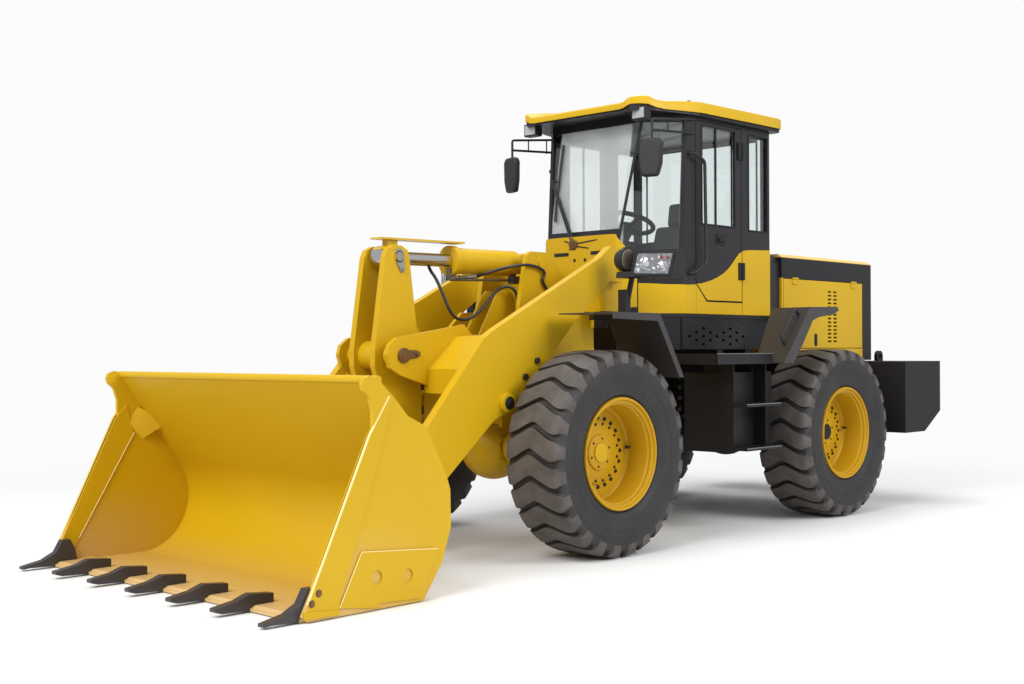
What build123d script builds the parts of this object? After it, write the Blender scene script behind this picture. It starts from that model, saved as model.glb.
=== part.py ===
"""Wheel loader of the three-tonne class, built from its welded frames, axles, boom, bucket and cab.

Millimetres. +Z is up, -Y is forward (towards the bucket) and +X is the machine's left.
The origin lies on the ground under the middle of the machine's overall box.
"""
import os
from math import cos, radians, sin

from build123d import *

# ---- Running gear -----------------------------------------------------------
front_axle_y = -825.0
wheelbase = 2771.0
tread = 1850.0
tyre_radius = 648.0
tyre_width = 445.0
rim_radius = 317.5
rim_width = 356.0
rim_flange_radius = 355.0
rim_wall = 14.0
rim_flange_lip = 18.0
wheel_disc_thickness = 24.0
wheel_disc_offset = -30.0
planetary_radius = 232.0
planetary_depth = 32.0
hub_cover_radius = 118.0
hub_cover_depth = 26.0
spindle_radius = 60.0
axle_tube_radius = 118.0
axle_tube_end_radius = 82.0
brake_flange_radius = 190.0
brake_flange_x = 640.0
brake_flange_thickness = 34.0
differential_radius = 228.0

# ---- Running clearances -----------------------------------------------------
pin_clearance = 0.05
seat_gap = 0.3
side_play = 6.0

# ---- Centre hinge (articulation) --------------------------------------------
upper_hinge_z = 1105.0
lower_hinge_z = 585.0
hinge_eye_thickness = 52.0
hinge_ear_thickness = 36.0
hinge_eye_radius = 112.0
hinge_pin_radius = 40.0

# ---- Front frame and tower --------------------------------------------------
main_plate_x = 340.0
main_plate_thickness = 30.0
tower_plate_x = 175.0
tower_plate_thickness = 36.0
tower_height = 1966.0
tower_back = 590.0
wing_x = 498.0
wing_thickness = 46.0

# ---- Boom -------------------------------------------------------------------
boom_pivot_y = 620.0
boom_pivot_z = 1870.0
boom_arm_x = 560.0
boom_arm_thickness = 58.0
boom_pin_radius = 40.0
bucket_pin_y = -1450.0
bucket_pin_z = 330.0
bucket_pin_radius = 32.0
bucket_boss_radius = 98.0
lift_eye_y = -520.0
lift_eye_z = 970.0
lift_base_y = 780.0
lift_base_z = 970.0
lift_cylinder_x = 470.0

# ---- Tilt linkage -----------------------------------------------------------
crank_pivot_y = -1036.0
crank_pivot_z = 1266.0
crank_top_y = -965.0
crank_top_z = 1880.0
crank_low_y = -880.0
crank_low_z = 520.0
crank_plate_x = 78.0
crank_plate_thickness = 45.0
crank_pin_radius = 36.0
link_pin_y = -1460.0
link_pin_z = 600.0
link_pin_radius = 32.0
tilt_base_y = 260.0
tilt_base_z = 1895.0

# ---- Cylinders --------------------------------------------------------------
lift_barrel_radius = 64.0
lift_rod_radius = 34.0
tilt_barrel_radius = 86.0
tilt_rod_radius = 43.0
steer_barrel_radius = 42.0
steer_rod_radius = 21.0
steer_base_x = 400.0
steer_base_back = 550.0
steer_eye_x = 300.0
steer_eye_ahead = 380.0
steer_z = 820.0
lift_rod_showing = 95.0
tilt_rod_showing = 545.0
steer_rod_showing = 345.0
guard_height = 118.0

# ---- Bucket -----------------------------------------------------------------
bucket_width = 2484.0
bucket_side_plate = 24.0
bucket_skin = 16.0
bucket_floor_z = 6.0
bucket_back_radius = 360.0
bucket_heel_y = -1960.0
bucket_back_slope = 36.87
bucket_lip_height = 1150.0
cutting_edge_y = -2568.0
cutting_edge_thickness = 28.0
tooth_tip_y = -2770.0
tooth_width = 50.0
tooth_count = 7

# ---- Cab --------------------------------------------------------------------
cab_floor_z = 1530.0
cab_waist_z = 2000.0
cab_head_z = 2988.0
roof_tray_height = 42.0
roof_rim_height = 74.0
roof_crown_height = 14.0
roof_brim_drop = 34.0
cab_half_width = 658.0
cab_back_y = 1030.0
cab_wall = 42.0
door_front_y = 45.0
door_hinge_y = 642.0
door_sill_z = 1649.0
door_head_z = cab_head_z - 20
window_head_z = cab_head_z - 52
door_gap = 6.0
glass_thickness = 6.0

# ---- Rear body --------------------------------------------------------------
rail_x = 235.0
rail_thickness = 30.0
hood_half_width = 650.0
hood_front_y = -170.0
hood_back_y = 1270.0
hood_top_z = 2052.0
hood_base_z = 1200.0
hood_skin = 10.0
hood_collar_half_width = 628.0
hood_collar_depth = 150.0
hood_collar_base_z = 1300.0
hood_collar_radius = 110.0
hood_door_low_z = 1300.0
hood_door_high_z = 1862.0
counterweight_half_width = 1100.0
counterweight_front_y = 1009.0
counterweight_back_y = 1649.0
counterweight_top_z = 1190.0
counterweight_base_z = 595.0
fender_inner_x = 722.0
fender_outer_x = 1150.0
rear_fender_inner_x = 815.0
fender_plate = 8.0
louvre_rows = 14
louvre_pitch = 31.6
louvre_low_z = 1353.0
louvre_start = 541.0
louvre_width = 56.0
louvre_column_pitch = 90.0
hood_post_width = 150.0
hood_knuckle_radius = 8.0
tow_pin_radius = 25.0
tow_pin_inset = 80.0
lift_lug_radius = 22.0
door_hinge_radius = 12.0
door_hinge_out = 16.0

rear_axle_y = front_axle_y + wheelbase
steer_y = front_axle_y + wheelbase / 2
hub_z = tyre_radius
wheel_x = tread / 2
bucket_half = bucket_width / 2

pieces = {}


def keep(name, *solids):
    """File the solids of one piece under its node's name."""
    pieces[name] = list(solids)


def side_plate(outline, x0, x1, y_from):
    """Plate cut to an outline of (y, z), with y measured from y_from, between two x planes."""
    face = make_face(Polyline(*[(y + y_from, z) for y, z in outline], close=True))
    return extrude(Plane.YZ.offset(x0) * face, x1 - x0)


def front_plate(outline, y0, y1):
    """Plate cut to an outline of (x, z) between two y planes."""
    face = make_face(Polyline(*outline, close=True))
    return extrude(Plane.XZ.offset(-y0) * face, y0 - y1)


def flat_plate(outline, z0, z1):
    """Plate cut to an outline of (x, y) between two z planes."""
    face = make_face(Polyline(*outline, close=True))
    return extrude(Plane.XY.offset(z0) * face, z1 - z0)


def block(x0, x1, y0, y1, z0, z1):
    """Square block between its corners."""
    return Pos((x0 + x1) / 2, (y0 + y1) / 2, (z0 + z1) / 2) * Box(x1 - x0, y1 - y0, z1 - z0)


def bar_x(radius, x0, x1, y, z):
    """Round bar along X."""
    return Pos((x0 + x1) / 2, y, z) * Rot(0, 90, 0) * Cylinder(radius, x1 - x0)


def bar_z(radius, x, y, z0, z1):
    """Round bar along Z."""
    return Pos(x, y, (z0 + z1) / 2) * Cylinder(radius, z1 - z0)


def bar_between(radius, start, end):
    """Round bar from one point to another."""
    axis = Vector(*end) - Vector(*start)
    return Plane(origin=start, z_dir=axis) * extrude(Circle(radius), axis.length)


def both_sides(shape):
    """The piece and its mirror image across the machine's middle plane."""
    return [shape, mirror(shape, about=Plane.YZ)]


def on_side(side, shape):
    """The piece on the left (side 1) or mirrored to the right (side -1)."""
    return shape if side > 0 else mirror(shape, about=Plane.YZ)


# ---- Wheels -----------------------------------------------------------------
def tyre():
    """Tyre about X at the origin, outer face towards +X."""
    half = tyre_width / 2
    seat = rim_radius + seat_gap
    bead_half = rim_width / 2 - 3 - seat_gap
    profile = [
        (-bead_half, seat),
        (bead_half, seat),
        (bead_half, rim_flange_radius + 2),
        (bead_half + 12, rim_flange_radius + 14),
        (half - 6, rim_flange_radius + 70),
        (half, tyre_radius - 150),
        (half - 14, tyre_radius - 62),
        (half - 46, tyre_radius - 8),
        (half - 80, tyre_radius),
    ]
    ring = profile + [(-x, r) for x, r in reversed(profile[2:])]
    return revolve(make_face(Polyline(*ring, close=True)), Axis.X)


def rim():
    """Rim with its disc and the planetary hub, about X at the origin, outer face towards +X."""
    rim_half = rim_width / 2
    inner = rim_radius - rim_wall
    disc_out = wheel_disc_offset + wheel_disc_thickness
    hub_face = disc_out + planetary_depth
    profile = [
        (wheel_disc_offset, spindle_radius + pin_clearance),
        (hub_face, spindle_radius + pin_clearance),
        (hub_face, planetary_radius - 24),
        (hub_face - 14, planetary_radius),
        (disc_out, planetary_radius),
        (disc_out, inner - 12),
        (disc_out + 26, inner),
        (rim_half - 24, inner),
        (rim_half - 4, inner + 12),
        (rim_half + rim_flange_lip - 6, rim_flange_radius - 14),
        (rim_half + rim_flange_lip, rim_flange_radius - 4),
        (rim_half + rim_flange_lip - 6, rim_flange_radius - 1),
        (rim_half, rim_flange_radius - 1),
        (rim_half - 3, rim_flange_radius - 14),
        (rim_half - 3, rim_radius),
        (-rim_half + 3, rim_radius),
        (-rim_half + 3, rim_flange_radius - 14),
        (-rim_half, rim_flange_radius - 1),
        (-rim_half - rim_flange_lip, rim_flange_radius - 1),
        (-rim_half - rim_flange_lip + 6, inner + 12),
        (-rim_half + 24, inner),
        (wheel_disc_offset - 26, inner),
        (wheel_disc_offset, inner - 12),
    ]
    ring = revolve(make_face(Polyline(*profile, close=True)), Axis.X)
    cap = bar_x(hub_cover_radius, hub_face, hub_face + hub_cover_depth, 0, 0)
    return ring + cap


tyre_solid = tyre()
rim_solid = rim()
for axle_name, axle_y in (("front", front_axle_y), ("rear", rear_axle_y)):
    for side_name, side in (("left", 1), ("right", -1)):
        place = Pos(side * wheel_x, axle_y, hub_z)
        keep(f"tyre_{axle_name}_{side_name}", place * on_side(side, tyre_solid))
        keep(f"rim_{axle_name}_{side_name}", place * on_side(side, rim_solid))


# ---- Axles ------------------------------------------------------------------
def axle(y, pad_x, pad_z, nose):
    """Drive axle: bowl with its differential, tapered arms, brake flanges and spindles; nose -1 faces forward."""
    arm_end = brake_flange_x
    arm_start = differential_radius * 0.6
    housing = Pos(0, y, hub_z) * Sphere(differential_radius)
    housing += Pos(0, y + nose * differential_radius * 0.8, hub_z) * Rot(90, 0, 0) * Cylinder(
        differential_radius * 0.5, differential_radius * 0.8)
    wheel_reach = wheel_x + wheel_disc_offset + wheel_disc_thickness + planetary_depth - seat_gap
    for side in (1, -1):
        arm = make_face(Polyline(
            (side * arm_start, 0), (side * arm_start, axle_tube_radius),
            (side * arm_end, axle_tube_end_radius), (side * arm_end, brake_flange_radius),
            (side * (arm_end + brake_flange_thickness), brake_flange_radius),
            (side * (arm_end + brake_flange_thickness), spindle_radius),
            (side * wheel_reach, spindle_radius), (side * wheel_reach, 0), close=True))
        housing += Pos(0, y, hub_z) * revolve(arm, Axis.X)
        housing += block(side * pad_x - 60, side * pad_x + 60, y - 110, y + 110, hub_z, pad_z - seat_gap)
    return housing


front_pad_z = 800.0
rear_pad_z = 790.0
keep("front_axle", axle(front_axle_y, main_plate_x + main_plate_thickness / 2, front_pad_z, 1))
keep("rear_axle", axle(rear_axle_y, rail_x + rail_thickness / 2, rear_pad_z, -1))


# ---- Front frame ------------------------------------------------------------
def front_frame():
    """Welded front frame: side plates, tilt tower, boom pivot wings and the hinge eyes behind."""
    plate_end = main_plate_x + main_plate_thickness
    main_outline = [(-300, front_pad_z), (-300, 1130), (-150, 1390), (40, 1560), (tower_back, 1560),
                    (640, 1180), (860, 1120), (860, 540), (640, 540), (300, 620), (230, front_pad_z)]
    frame = None
    for sx in (1, -1):
        edges = sorted((sx * main_plate_x, sx * plate_end))
        plate = side_plate(main_outline, *edges, front_axle_y)
        frame = plate if frame is None else frame + plate
        tower_outline = [(40, 1250), (40, 1600), (114, 1940), (150, tower_height), (315, tower_height),
                         (487, 1815), (tower_back, 1700), (tower_back, 1250)]
        edges = sorted((sx * tower_plate_x, sx * (tower_plate_x + tower_plate_thickness)))
        frame += side_plate(tower_outline, *edges, front_axle_y)
        wing_outline = [(556, 1480), (505, 1790), (520, 1930), (570, 1975), (670, 1975), (726, 1920),
                        (730, 1820), (706, 1560), (706, 1480)]
        edges = sorted((sx * wing_x, sx * (wing_x + wing_thickness)))
        frame += side_plate(wing_outline, *edges, front_axle_y)
        lug = [(660, 900), (680, 1010), (730, 1062), (830, 1062), (872, 1010), (872, 880), (800, 840), (690, 840)]
        edges = sorted((sx * (lift_cylinder_x + lift_barrel_radius + 16), sx * (lift_cylinder_x + 110)))
        frame += side_plate(lug, *edges, front_axle_y)
        edges = sorted((sx * main_plate_x, sx * (lift_cylinder_x + 110)))
        frame += block(*edges, front_axle_y + 660, front_axle_y + 870, 840, 872)
        frame += bar_x(boom_pin_radius, *sorted((sx * wing_x, sx * (boom_arm_x + boom_arm_thickness + 12))),
                       front_axle_y + boom_pivot_y, boom_pivot_z)
        frame += bar_x(crank_pin_radius, *sorted((sx * plate_end, sx * (lift_cylinder_x + 110))),
                       front_axle_y + lift_base_y, lift_base_z)
        for low in (steer_z - 62, steer_z + 34):
            frame += flat_plate(
                [(sx * (steer_eye_x - 60), front_axle_y + 830), (sx * (steer_eye_x + 60), front_axle_y + 830),
                 (sx * (steer_eye_x + 44), steer_y - steer_eye_ahead + 44),
                 (sx * (steer_eye_x - 44), steer_y - steer_eye_ahead + 44)], low, low + 28)
    y = front_axle_y
    frame += block(-plate_end, plate_end, y - 300, y - 270, front_pad_z + 20, 1130)
    frame += block(-plate_end, plate_end, y + tower_back, y + tower_back + 30, 1250, 1560)
    frame += block(-wing_x, wing_x, y + tower_back, y + tower_back + 30, 1450, 1860)
    frame += block(-plate_end, plate_end, y + 830, y + 860, 540, 1120)
    frame += flat_plate([(-plate_end, y - 150), (plate_end, y - 150), (plate_end, y + 640), (-plate_end, y + 640)],
                        1225, 1250)
    for z in (upper_hinge_z, lower_hinge_z):
        low, high = z - hinge_eye_thickness / 2, z + hinge_eye_thickness / 2
        eye = flat_plate([(-350, y + 838), (350, y + 838), (88, steer_y), (-88, steer_y)], low, high)
        frame += eye + bar_z(hinge_eye_radius, 0, steer_y, low, high)
        frame -= bar_z(hinge_pin_radius + pin_clearance, 0, steer_y, low - 5, high + 5)
    tower_out = tower_plate_x + tower_plate_thickness
    frame += bar_x(crank_pin_radius, -tower_out - 8, tower_out + 8, y + tilt_base_y, tilt_base_z)
    return frame


keep("front_frame", front_frame())


# ---- Front fenders and lamps ------------------------------------------------
def front_fender():
    """Left front fender: folded plate over the wheel with a narrow outer skirt."""
    top = [(-120, 1530), (353, 1530), (609, 1117), (602, 1112), (349, 1522), (-120, 1522)]
    sheet = side_plate(top, fender_inner_x - 20, fender_outer_x, front_axle_y)
    skirt = [(-120, 1530), (353, 1530), (609, 1117), (560, 1117), (330, 1480), (-120, 1490)]
    sheet += side_plate(skirt, fender_outer_x - fender_plate, fender_outer_x, front_axle_y)
    rail_in = fender_inner_x - 20
    bracket = block(wing_x + wing_thickness + seat_gap, rail_in + 40, front_axle_y + 655, front_axle_y + 700, 1491,
                    1521.5)
    bracket += block(rail_in, rail_in + 40, front_axle_y + 180, front_axle_y + 700, 1491, 1521.5)
    return sheet + bracket


def lamp_unit():
    """Left head lamp housing on its post."""
    foot = (fender_inner_x, front_axle_y + 560)
    post = bar_z(19, *foot, 1521.5 + seat_gap, 1640)
    post += bar_between(19, (*foot, 1636), (800, front_axle_y + 520, 1812))
    housing = flat_plate([(745, 400), (790, 345), (1090, 560), (1100, 640), (1060, 680), (760, 520)], 1800, 1960)
    housing = Pos(0, front_axle_y, 0) * housing
    return post + housing


keep("front_fenders", *both_sides(front_fender()))
keep("head_lamps", *both_sides(lamp_unit()))


# ---- Boom -------------------------------------------------------------------
def boom_arm():
    """Left boom arm: one thick plate, cranked down to the bucket pin."""
    outline = [(515, 2000), (390, 1910), (-625, 1420), (-710, 1370), (-1180, 850), (-1470, 428), (-1548, 330),
               (-1450, 232), (-1380, 262), (-1035, 530), (-627, 864), (-546, 900), (-107, 1247), (122, 1474),
               (392, 1655), (503, 1762), (620, 1755), (735, 1870), (700, 1955), (620, 1990)]
    x1 = boom_arm_x + boom_arm_thickness
    arm = side_plate(outline, boom_arm_x, x1, front_axle_y)
    arm += bar_x(bucket_boss_radius, boom_arm_x, x1, front_axle_y + bucket_pin_y, bucket_pin_z)
    arm += bar_x(78, boom_arm_x, x1, front_axle_y + lift_eye_y, lift_eye_z)
    arm -= bar_x(boom_pin_radius + pin_clearance, boom_arm_x - 5, x1 + 5, front_axle_y + boom_pivot_y, boom_pivot_z)
    arm -= bar_x(bucket_pin_radius + pin_clearance, boom_arm_x - 5, x1 + 5, front_axle_y + bucket_pin_y,
                 bucket_pin_z)
    return arm


def boom_cross_beam():
    """Box beam between the arms with the bell crank's bracket and the lift cylinders' inner ears."""
    slot_half = 215.0
    cheek_out = 245.0
    outer = [(-830, 1030), (-830, 1182), (-590, 1383), (-430, 1395), (-430, 1120), (-560, 1090), (-640, 1040)]
    middle = [(-530, 1180), (-530, 1392), (-430, 1395), (-390, 1360), (-390, 1180)]
    beam = side_plate(middle, -slot_half - 5, slot_half + 5, front_axle_y)
    cheek = [(-1168, 1270), (-1150, 1330), (-1088, 1374), (-516, 1461), (-440, 1390), (-560, 1100), (-700, 1040),
             (-1060, 1145), (-1142, 1190)]
    for sx in (1, -1):
        beam += side_plate(outer, *sorted((sx * slot_half, sx * boom_arm_x)), front_axle_y)
        beam += side_plate(cheek, *sorted((sx * slot_half, sx * cheek_out)), front_axle_y)
        tube = bar_x(66, *sorted((sx * slot_half, sx * (crank_plate_x + crank_plate_thickness + side_play))),
                     front_axle_y + crank_pivot_y, crank_pivot_z)
        beam += tube
        ear_x = lift_cylinder_x - 58
        ear = [(-610, 1060), (-600, 930), (-550, 892), (-480, 905), (-440, 970), (-450, 1130), (-560, 1150)]
        beam += side_plate(ear, *sorted((sx * (ear_x - 26), sx * ear_x)), front_axle_y)
    beam += bar_x(crank_pin_radius, -slot_half, slot_half, front_axle_y + crank_pivot_y, crank_pivot_z)
    return beam


for side_name, side in (("left", 1), ("right", -1)):
    keep(f"boom_arm_{side_name}", on_side(side, boom_arm()))
keep("boom_cross_beam", boom_cross_beam())


# ---- Bell crank and link ----------------------------------------------------
def bell_crank():
    """Two crank plates joined by the pivot tube, with a stub pin in each plate's top and foot."""
    outline = [(-1072, 1880), (-1050, 1925), (-1000, 1950), (-940, 1950), (-890, 1925), (-875, 1880), (-800, 1330),
               (-776, 980), (-778, 560), (-800, 468), (-850, 434), (-920, 438), (-975, 490), (-1020, 760),
               (-1130, 1100), (-1160, 1200), (-1160, 1300)]
    crank = None
    out = crank_plate_x + crank_plate_thickness
    for sx in (1, -1):
        plate = side_plate(outline, *sorted((sx * crank_plate_x, sx * out)), front_axle_y)
        crank = plate if crank is None else crank + plate
        crank += bar_x(crank_pin_radius, *sorted((sx * crank_plate_x, sx * (out + 10))),
                       front_axle_y + crank_top_y, crank_top_z)
    crank += bar_x(92, -out, out, front_axle_y + crank_pivot_y, crank_pivot_z)
    crank -= bar_x(crank_pin_radius + pin_clearance, -out - 5, out + 5, front_axle_y + crank_pivot_y, crank_pivot_z)
    crank += bar_x(link_pin_radius, -out, out, front_axle_y + crank_low_y, crank_low_z)
    return crank


def tilt_link():
    """Bar from the bell crank's foot to the bucket's ears."""
    low = (0, front_axle_y + crank_low_y, crank_low_z)
    far = (0, front_axle_y + link_pin_y, link_pin_z)
    half = crank_plate_x - side_play
    link = bar_x(68, -half, half, low[1], low[2]) + bar_x(62, -half, half, far[1], far[2])
    outline = [(crank_low_y, crank_low_z - 52), (link_pin_y, link_pin_z - 46), (link_pin_y, link_pin_z + 46),
               (crank_low_y, crank_low_z + 52)]
    link += side_plate(outline, -44, 44, front_axle_y)
    link -= bar_x(link_pin_radius + pin_clearance, -half - 5, half + 5, low[1], low[2])
    link -= bar_x(link_pin_radius + 2, -half - 5, half + 5, far[1], far[2])
    return link


keep("bell_crank", bell_crank())
keep("tilt_link", tilt_link())


# ---- Bucket -----------------------------------------------------------------
def bucket_section(inset):
    """Closed (y, z) band of the bucket's floor and back, inset from the outside."""
    radius = bucket_back_radius - inset
    centre_y, centre_z = bucket_heel_y, bucket_floor_z + bucket_back_radius
    slope = radians(bucket_back_slope)
    rise = bucket_lip_height - (centre_z + bucket_back_radius * sin(slope))
    floor_start = (cutting_edge_y, bucket_floor_z + inset)
    heel = (centre_y, centre_z - radius)
    middle = (centre_y + radius * cos((slope - radians(90)) / 2), centre_z + radius * sin((slope - radians(90)) / 2))
    knee = (centre_y + radius * cos(slope), centre_z + radius * sin(slope))
    lip = (knee[0] - rise * sin(slope) / cos(slope), knee[1] + rise)
    return floor_start, heel, middle, knee, lip


def bucket_shell():
    """Rolled floor and back, side plates, lip bar, cutting edge, pin ears and back ribs."""
    y = front_axle_y
    inner_x = bucket_half - bucket_side_plate
    a0, a1, a2, a3, a4 = bucket_section(0)
    b0, b1, b2, b3, b4 = bucket_section(bucket_skin)
    lines = [Line(a0, a1), ThreePointArc(a1, a2, a3), Line(a3, a4), Line(a4, b4), Line(b4, b3),
             ThreePointArc(b3, b2, b1), Line(b1, b0), Line(b0, a0)]
    skin = extrude(Plane.YZ.offset(-inner_x - 1) * make_face(Curve() + lines), 2 * inner_x + 2)
    shell = Pos(0, y, 0) * skin
    side = [(-2146, 1174), (-2184, 1160), (-2199, 1131), (-2190, 1098), (-2150, 1062), (-2127, 994), (-2127, 850),
            (-2568, 32), (-2540, bucket_floor_z), (-1792, bucket_floor_z),
            (-1661, 184), (-1594, 370), (-1598, 564), (-1626, 640), (-1767, 902), (-1895, 962), (-1988, 1059),
            (-2079, 1140), (-2108, 1164)]
    for sx in (1, -1):
        shell += side_plate(side, *sorted((sx * inner_x, sx * bucket_half)), y)
        for ear_in, ear_out in ((boom_arm_x - side_play - 32, boom_arm_x - side_play),
                                (boom_arm_x + boom_arm_thickness + side_play,
                                 boom_arm_x + boom_arm_thickness + side_play + 32)):
            ear = [(-1620, 560), (-1650, 200), (-1560, 130), (-1450, 236), (-1372, 280), (-1360, 360), (-1400, 420)]
            shell += side_plate(ear, *sorted((sx * ear_in, sx * ear_out)), y)
            shell += bar_x(94, *sorted((sx * ear_in, sx * ear_out)), y + bucket_pin_y, bucket_pin_z)
        shell += bar_x(bucket_pin_radius, *sorted((sx * (boom_arm_x - side_play - 32),
                                                   sx * (boom_arm_x + boom_arm_thickness + side_play + 32))),
                       y + bucket_pin_y, bucket_pin_z)
        link_ear = [(-1604, 480), (-1560, 500), (-1460, 530), (-1400, 570), (-1392, 620), (-1430, 666),
                    (-1500, 700), (-1650, 740), (-1760, 715), (-1680, 560)]
        shell += side_plate(link_ear, *sorted((sx * crank_plate_x, sx * (crank_plate_x + 34))), y)
        shell += bar_x(link_pin_radius, *sorted((sx * (crank_plate_x - 4), sx * (crank_plate_x + 42))),
                       y + link_pin_y, link_pin_z)
    room_lines = [Line(b0, b1), ThreePointArc(b1, b2, b3), Line(b3, b4), Line(b4, b0)]
    room = extrude(Plane.YZ.offset(-inner_x) * make_face(Curve() + room_lines), 2 * inner_x)
    shell -= Pos(0, y, 0) * room
    edge = [(cutting_edge_y, bucket_floor_z), (-2300, bucket_floor_z), (-2300, bucket_floor_z + cutting_edge_thickness),
            (cutting_edge_y + 30, bucket_floor_z + cutting_edge_thickness), (cutting_edge_y, bucket_floor_z + 10)]
    shell += side_plate(edge, -inner_x, inner_x, y)
    shell += bar_x(22, -bucket_half, bucket_half, y + a4[0] + 4, a4[1])
    return shell


def bucket_tooth(x, corner):
    """Bolt-on tooth over the cutting edge; the corner ones reach up the side plate."""
    top = bucket_floor_z + cutting_edge_thickness + seat_gap
    nose = cutting_edge_y - seat_gap
    tip = [(nose, bucket_floor_z + 2), (nose - 32, bucket_floor_z + 5), (tooth_tip_y + 40, bucket_floor_z + 10)]
    if corner:
        back = [(tooth_tip_y, 12), (tooth_tip_y, 28), (-2640, 52), (-2560, 92), (-2520, 160), (-2472, 160),
                (-2440, 100), (-2428, top)]
    else:
        back = [(tooth_tip_y, 28), (tooth_tip_y, 46), (-2640, 66), (-2590, 84), (-2560, 93), (-2425, 80), (-2425, top)]
    outline = tip + back + [(cutting_edge_y + 28, top), (nose, top - 12)]
    return side_plate(outline, x - tooth_width / 2, x + tooth_width / 2, front_axle_y)


keep("bucket_shell", bucket_shell())
tooth_reach = bucket_half - bucket_side_plate - tooth_width / 2 - 1
tooth_pitch = 2 * tooth_reach / (tooth_count - 1)
keep("bucket_teeth", *[bucket_tooth(-tooth_reach + i * tooth_pitch, i in (0, tooth_count - 1))
                       for i in range(tooth_count)])


# ---- Cylinders --------------------------------------------------------------
def cylinder_pair(base, eye, pin_axis, barrel_radius, rod_radius, eye_half, base_pin, eye_pin, showing, rod_end):
    """Barrel and rod of one hydraulic cylinder between two pins that both lie along pin_axis."""
    start, end = Vector(*base), Vector(*eye)
    reach = (end - start).length
    barrel_length = reach - showing
    line = Plane(origin=base, x_dir=pin_axis, z_dir=end - start)
    eye_radius = rod_radius * 1.15 + eye_pin * 0.75
    tube_start = base_pin + 30
    bore_start = tube_start + 30
    bore = barrel_radius - 11
    gland_length = 40
    tube = line * Pos(0, 0, (tube_start + barrel_length) / 2) * Cylinder(barrel_radius, barrel_length - tube_start)
    tube += line * Rot(0, 90, 0) * Cylinder(base_pin + 34, 2 * eye_half)
    tube += line * Pos(0, 0, barrel_length - gland_length / 2) * Cylinder(barrel_radius + 13, gland_length)
    hollow_end = barrel_length - gland_length
    tube -= line * Pos(0, 0, (bore_start + hollow_end) / 2) * Cylinder(bore, hollow_end - bore_start)
    tube -= line * Pos(0, 0, barrel_length) * Cylinder(rod_radius + pin_clearance, 3 * gland_length)
    tube -= line * Rot(0, 90, 0) * Cylinder(base_pin + pin_clearance, 2 * eye_half + 10)
    rod = line * Pos(0, 0, (rod_end + reach) / 2) * Cylinder(rod_radius, reach - rod_end)
    rod += line * Pos(0, 0, reach) * Rot(0, 90, 0) * Cylinder(eye_radius, 2 * eye_half)
    rod -= line * Pos(0, 0, reach) * Rot(0, 90, 0) * Cylinder(eye_pin + 1, 2 * eye_half + 10)
    return tube, rod


def fy(y):
    """Distance behind the front axle as a place along the machine."""
    return front_axle_y + y


for side_name, side in (("left", 1), ("right", -1)):
    x = side * lift_cylinder_x
    barrel, rod = cylinder_pair((x, fy(lift_base_y), lift_base_z), (x, fy(lift_eye_y), lift_eye_z), (1, 0, 0),
                                lift_barrel_radius - 13, lift_rod_radius, 52, crank_pin_radius, 32,
                                lift_rod_showing, 130)
    keep(f"lift_barrel_{side_name}", barrel)
    keep(f"lift_rod_{side_name}", rod)
    barrel, rod = cylinder_pair((side * steer_base_x, steer_y + steer_base_back, steer_z),
                                (side * steer_eye_x, steer_y - steer_eye_ahead, steer_z), (0, 0, 1),
                                steer_barrel_radius - 8, steer_rod_radius, 24, 18, 18,
                                steer_rod_showing, 330)
    keep(f"steer_barrel_{side_name}", barrel)
    keep(f"steer_rod_{side_name}", rod)

tilt_base = (0, fy(tilt_base_y), tilt_base_z)
tilt_eye = (0, fy(crank_top_y), crank_top_z)
tilt_barrel, tilt_rod = cylinder_pair(tilt_base, tilt_eye, (1, 0, 0), tilt_barrel_radius, tilt_rod_radius, 60,
                                      crank_pin_radius, crank_pin_radius, tilt_rod_showing, 310)
rod_line = Plane(origin=tilt_eye, x_dir=(1, 0, 0), z_dir=Vector(*tilt_base) - Vector(*tilt_eye))
tilt_rod += rod_line * Pos(0, -92, 38) * Box(50, 50, 84)
tilt_rod += rod_line * Pos(0, -guard_height, 284) * Box(104, 12, 730)
keep("tilt_barrel", tilt_barrel)
keep("tilt_rod", tilt_rod)


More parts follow.
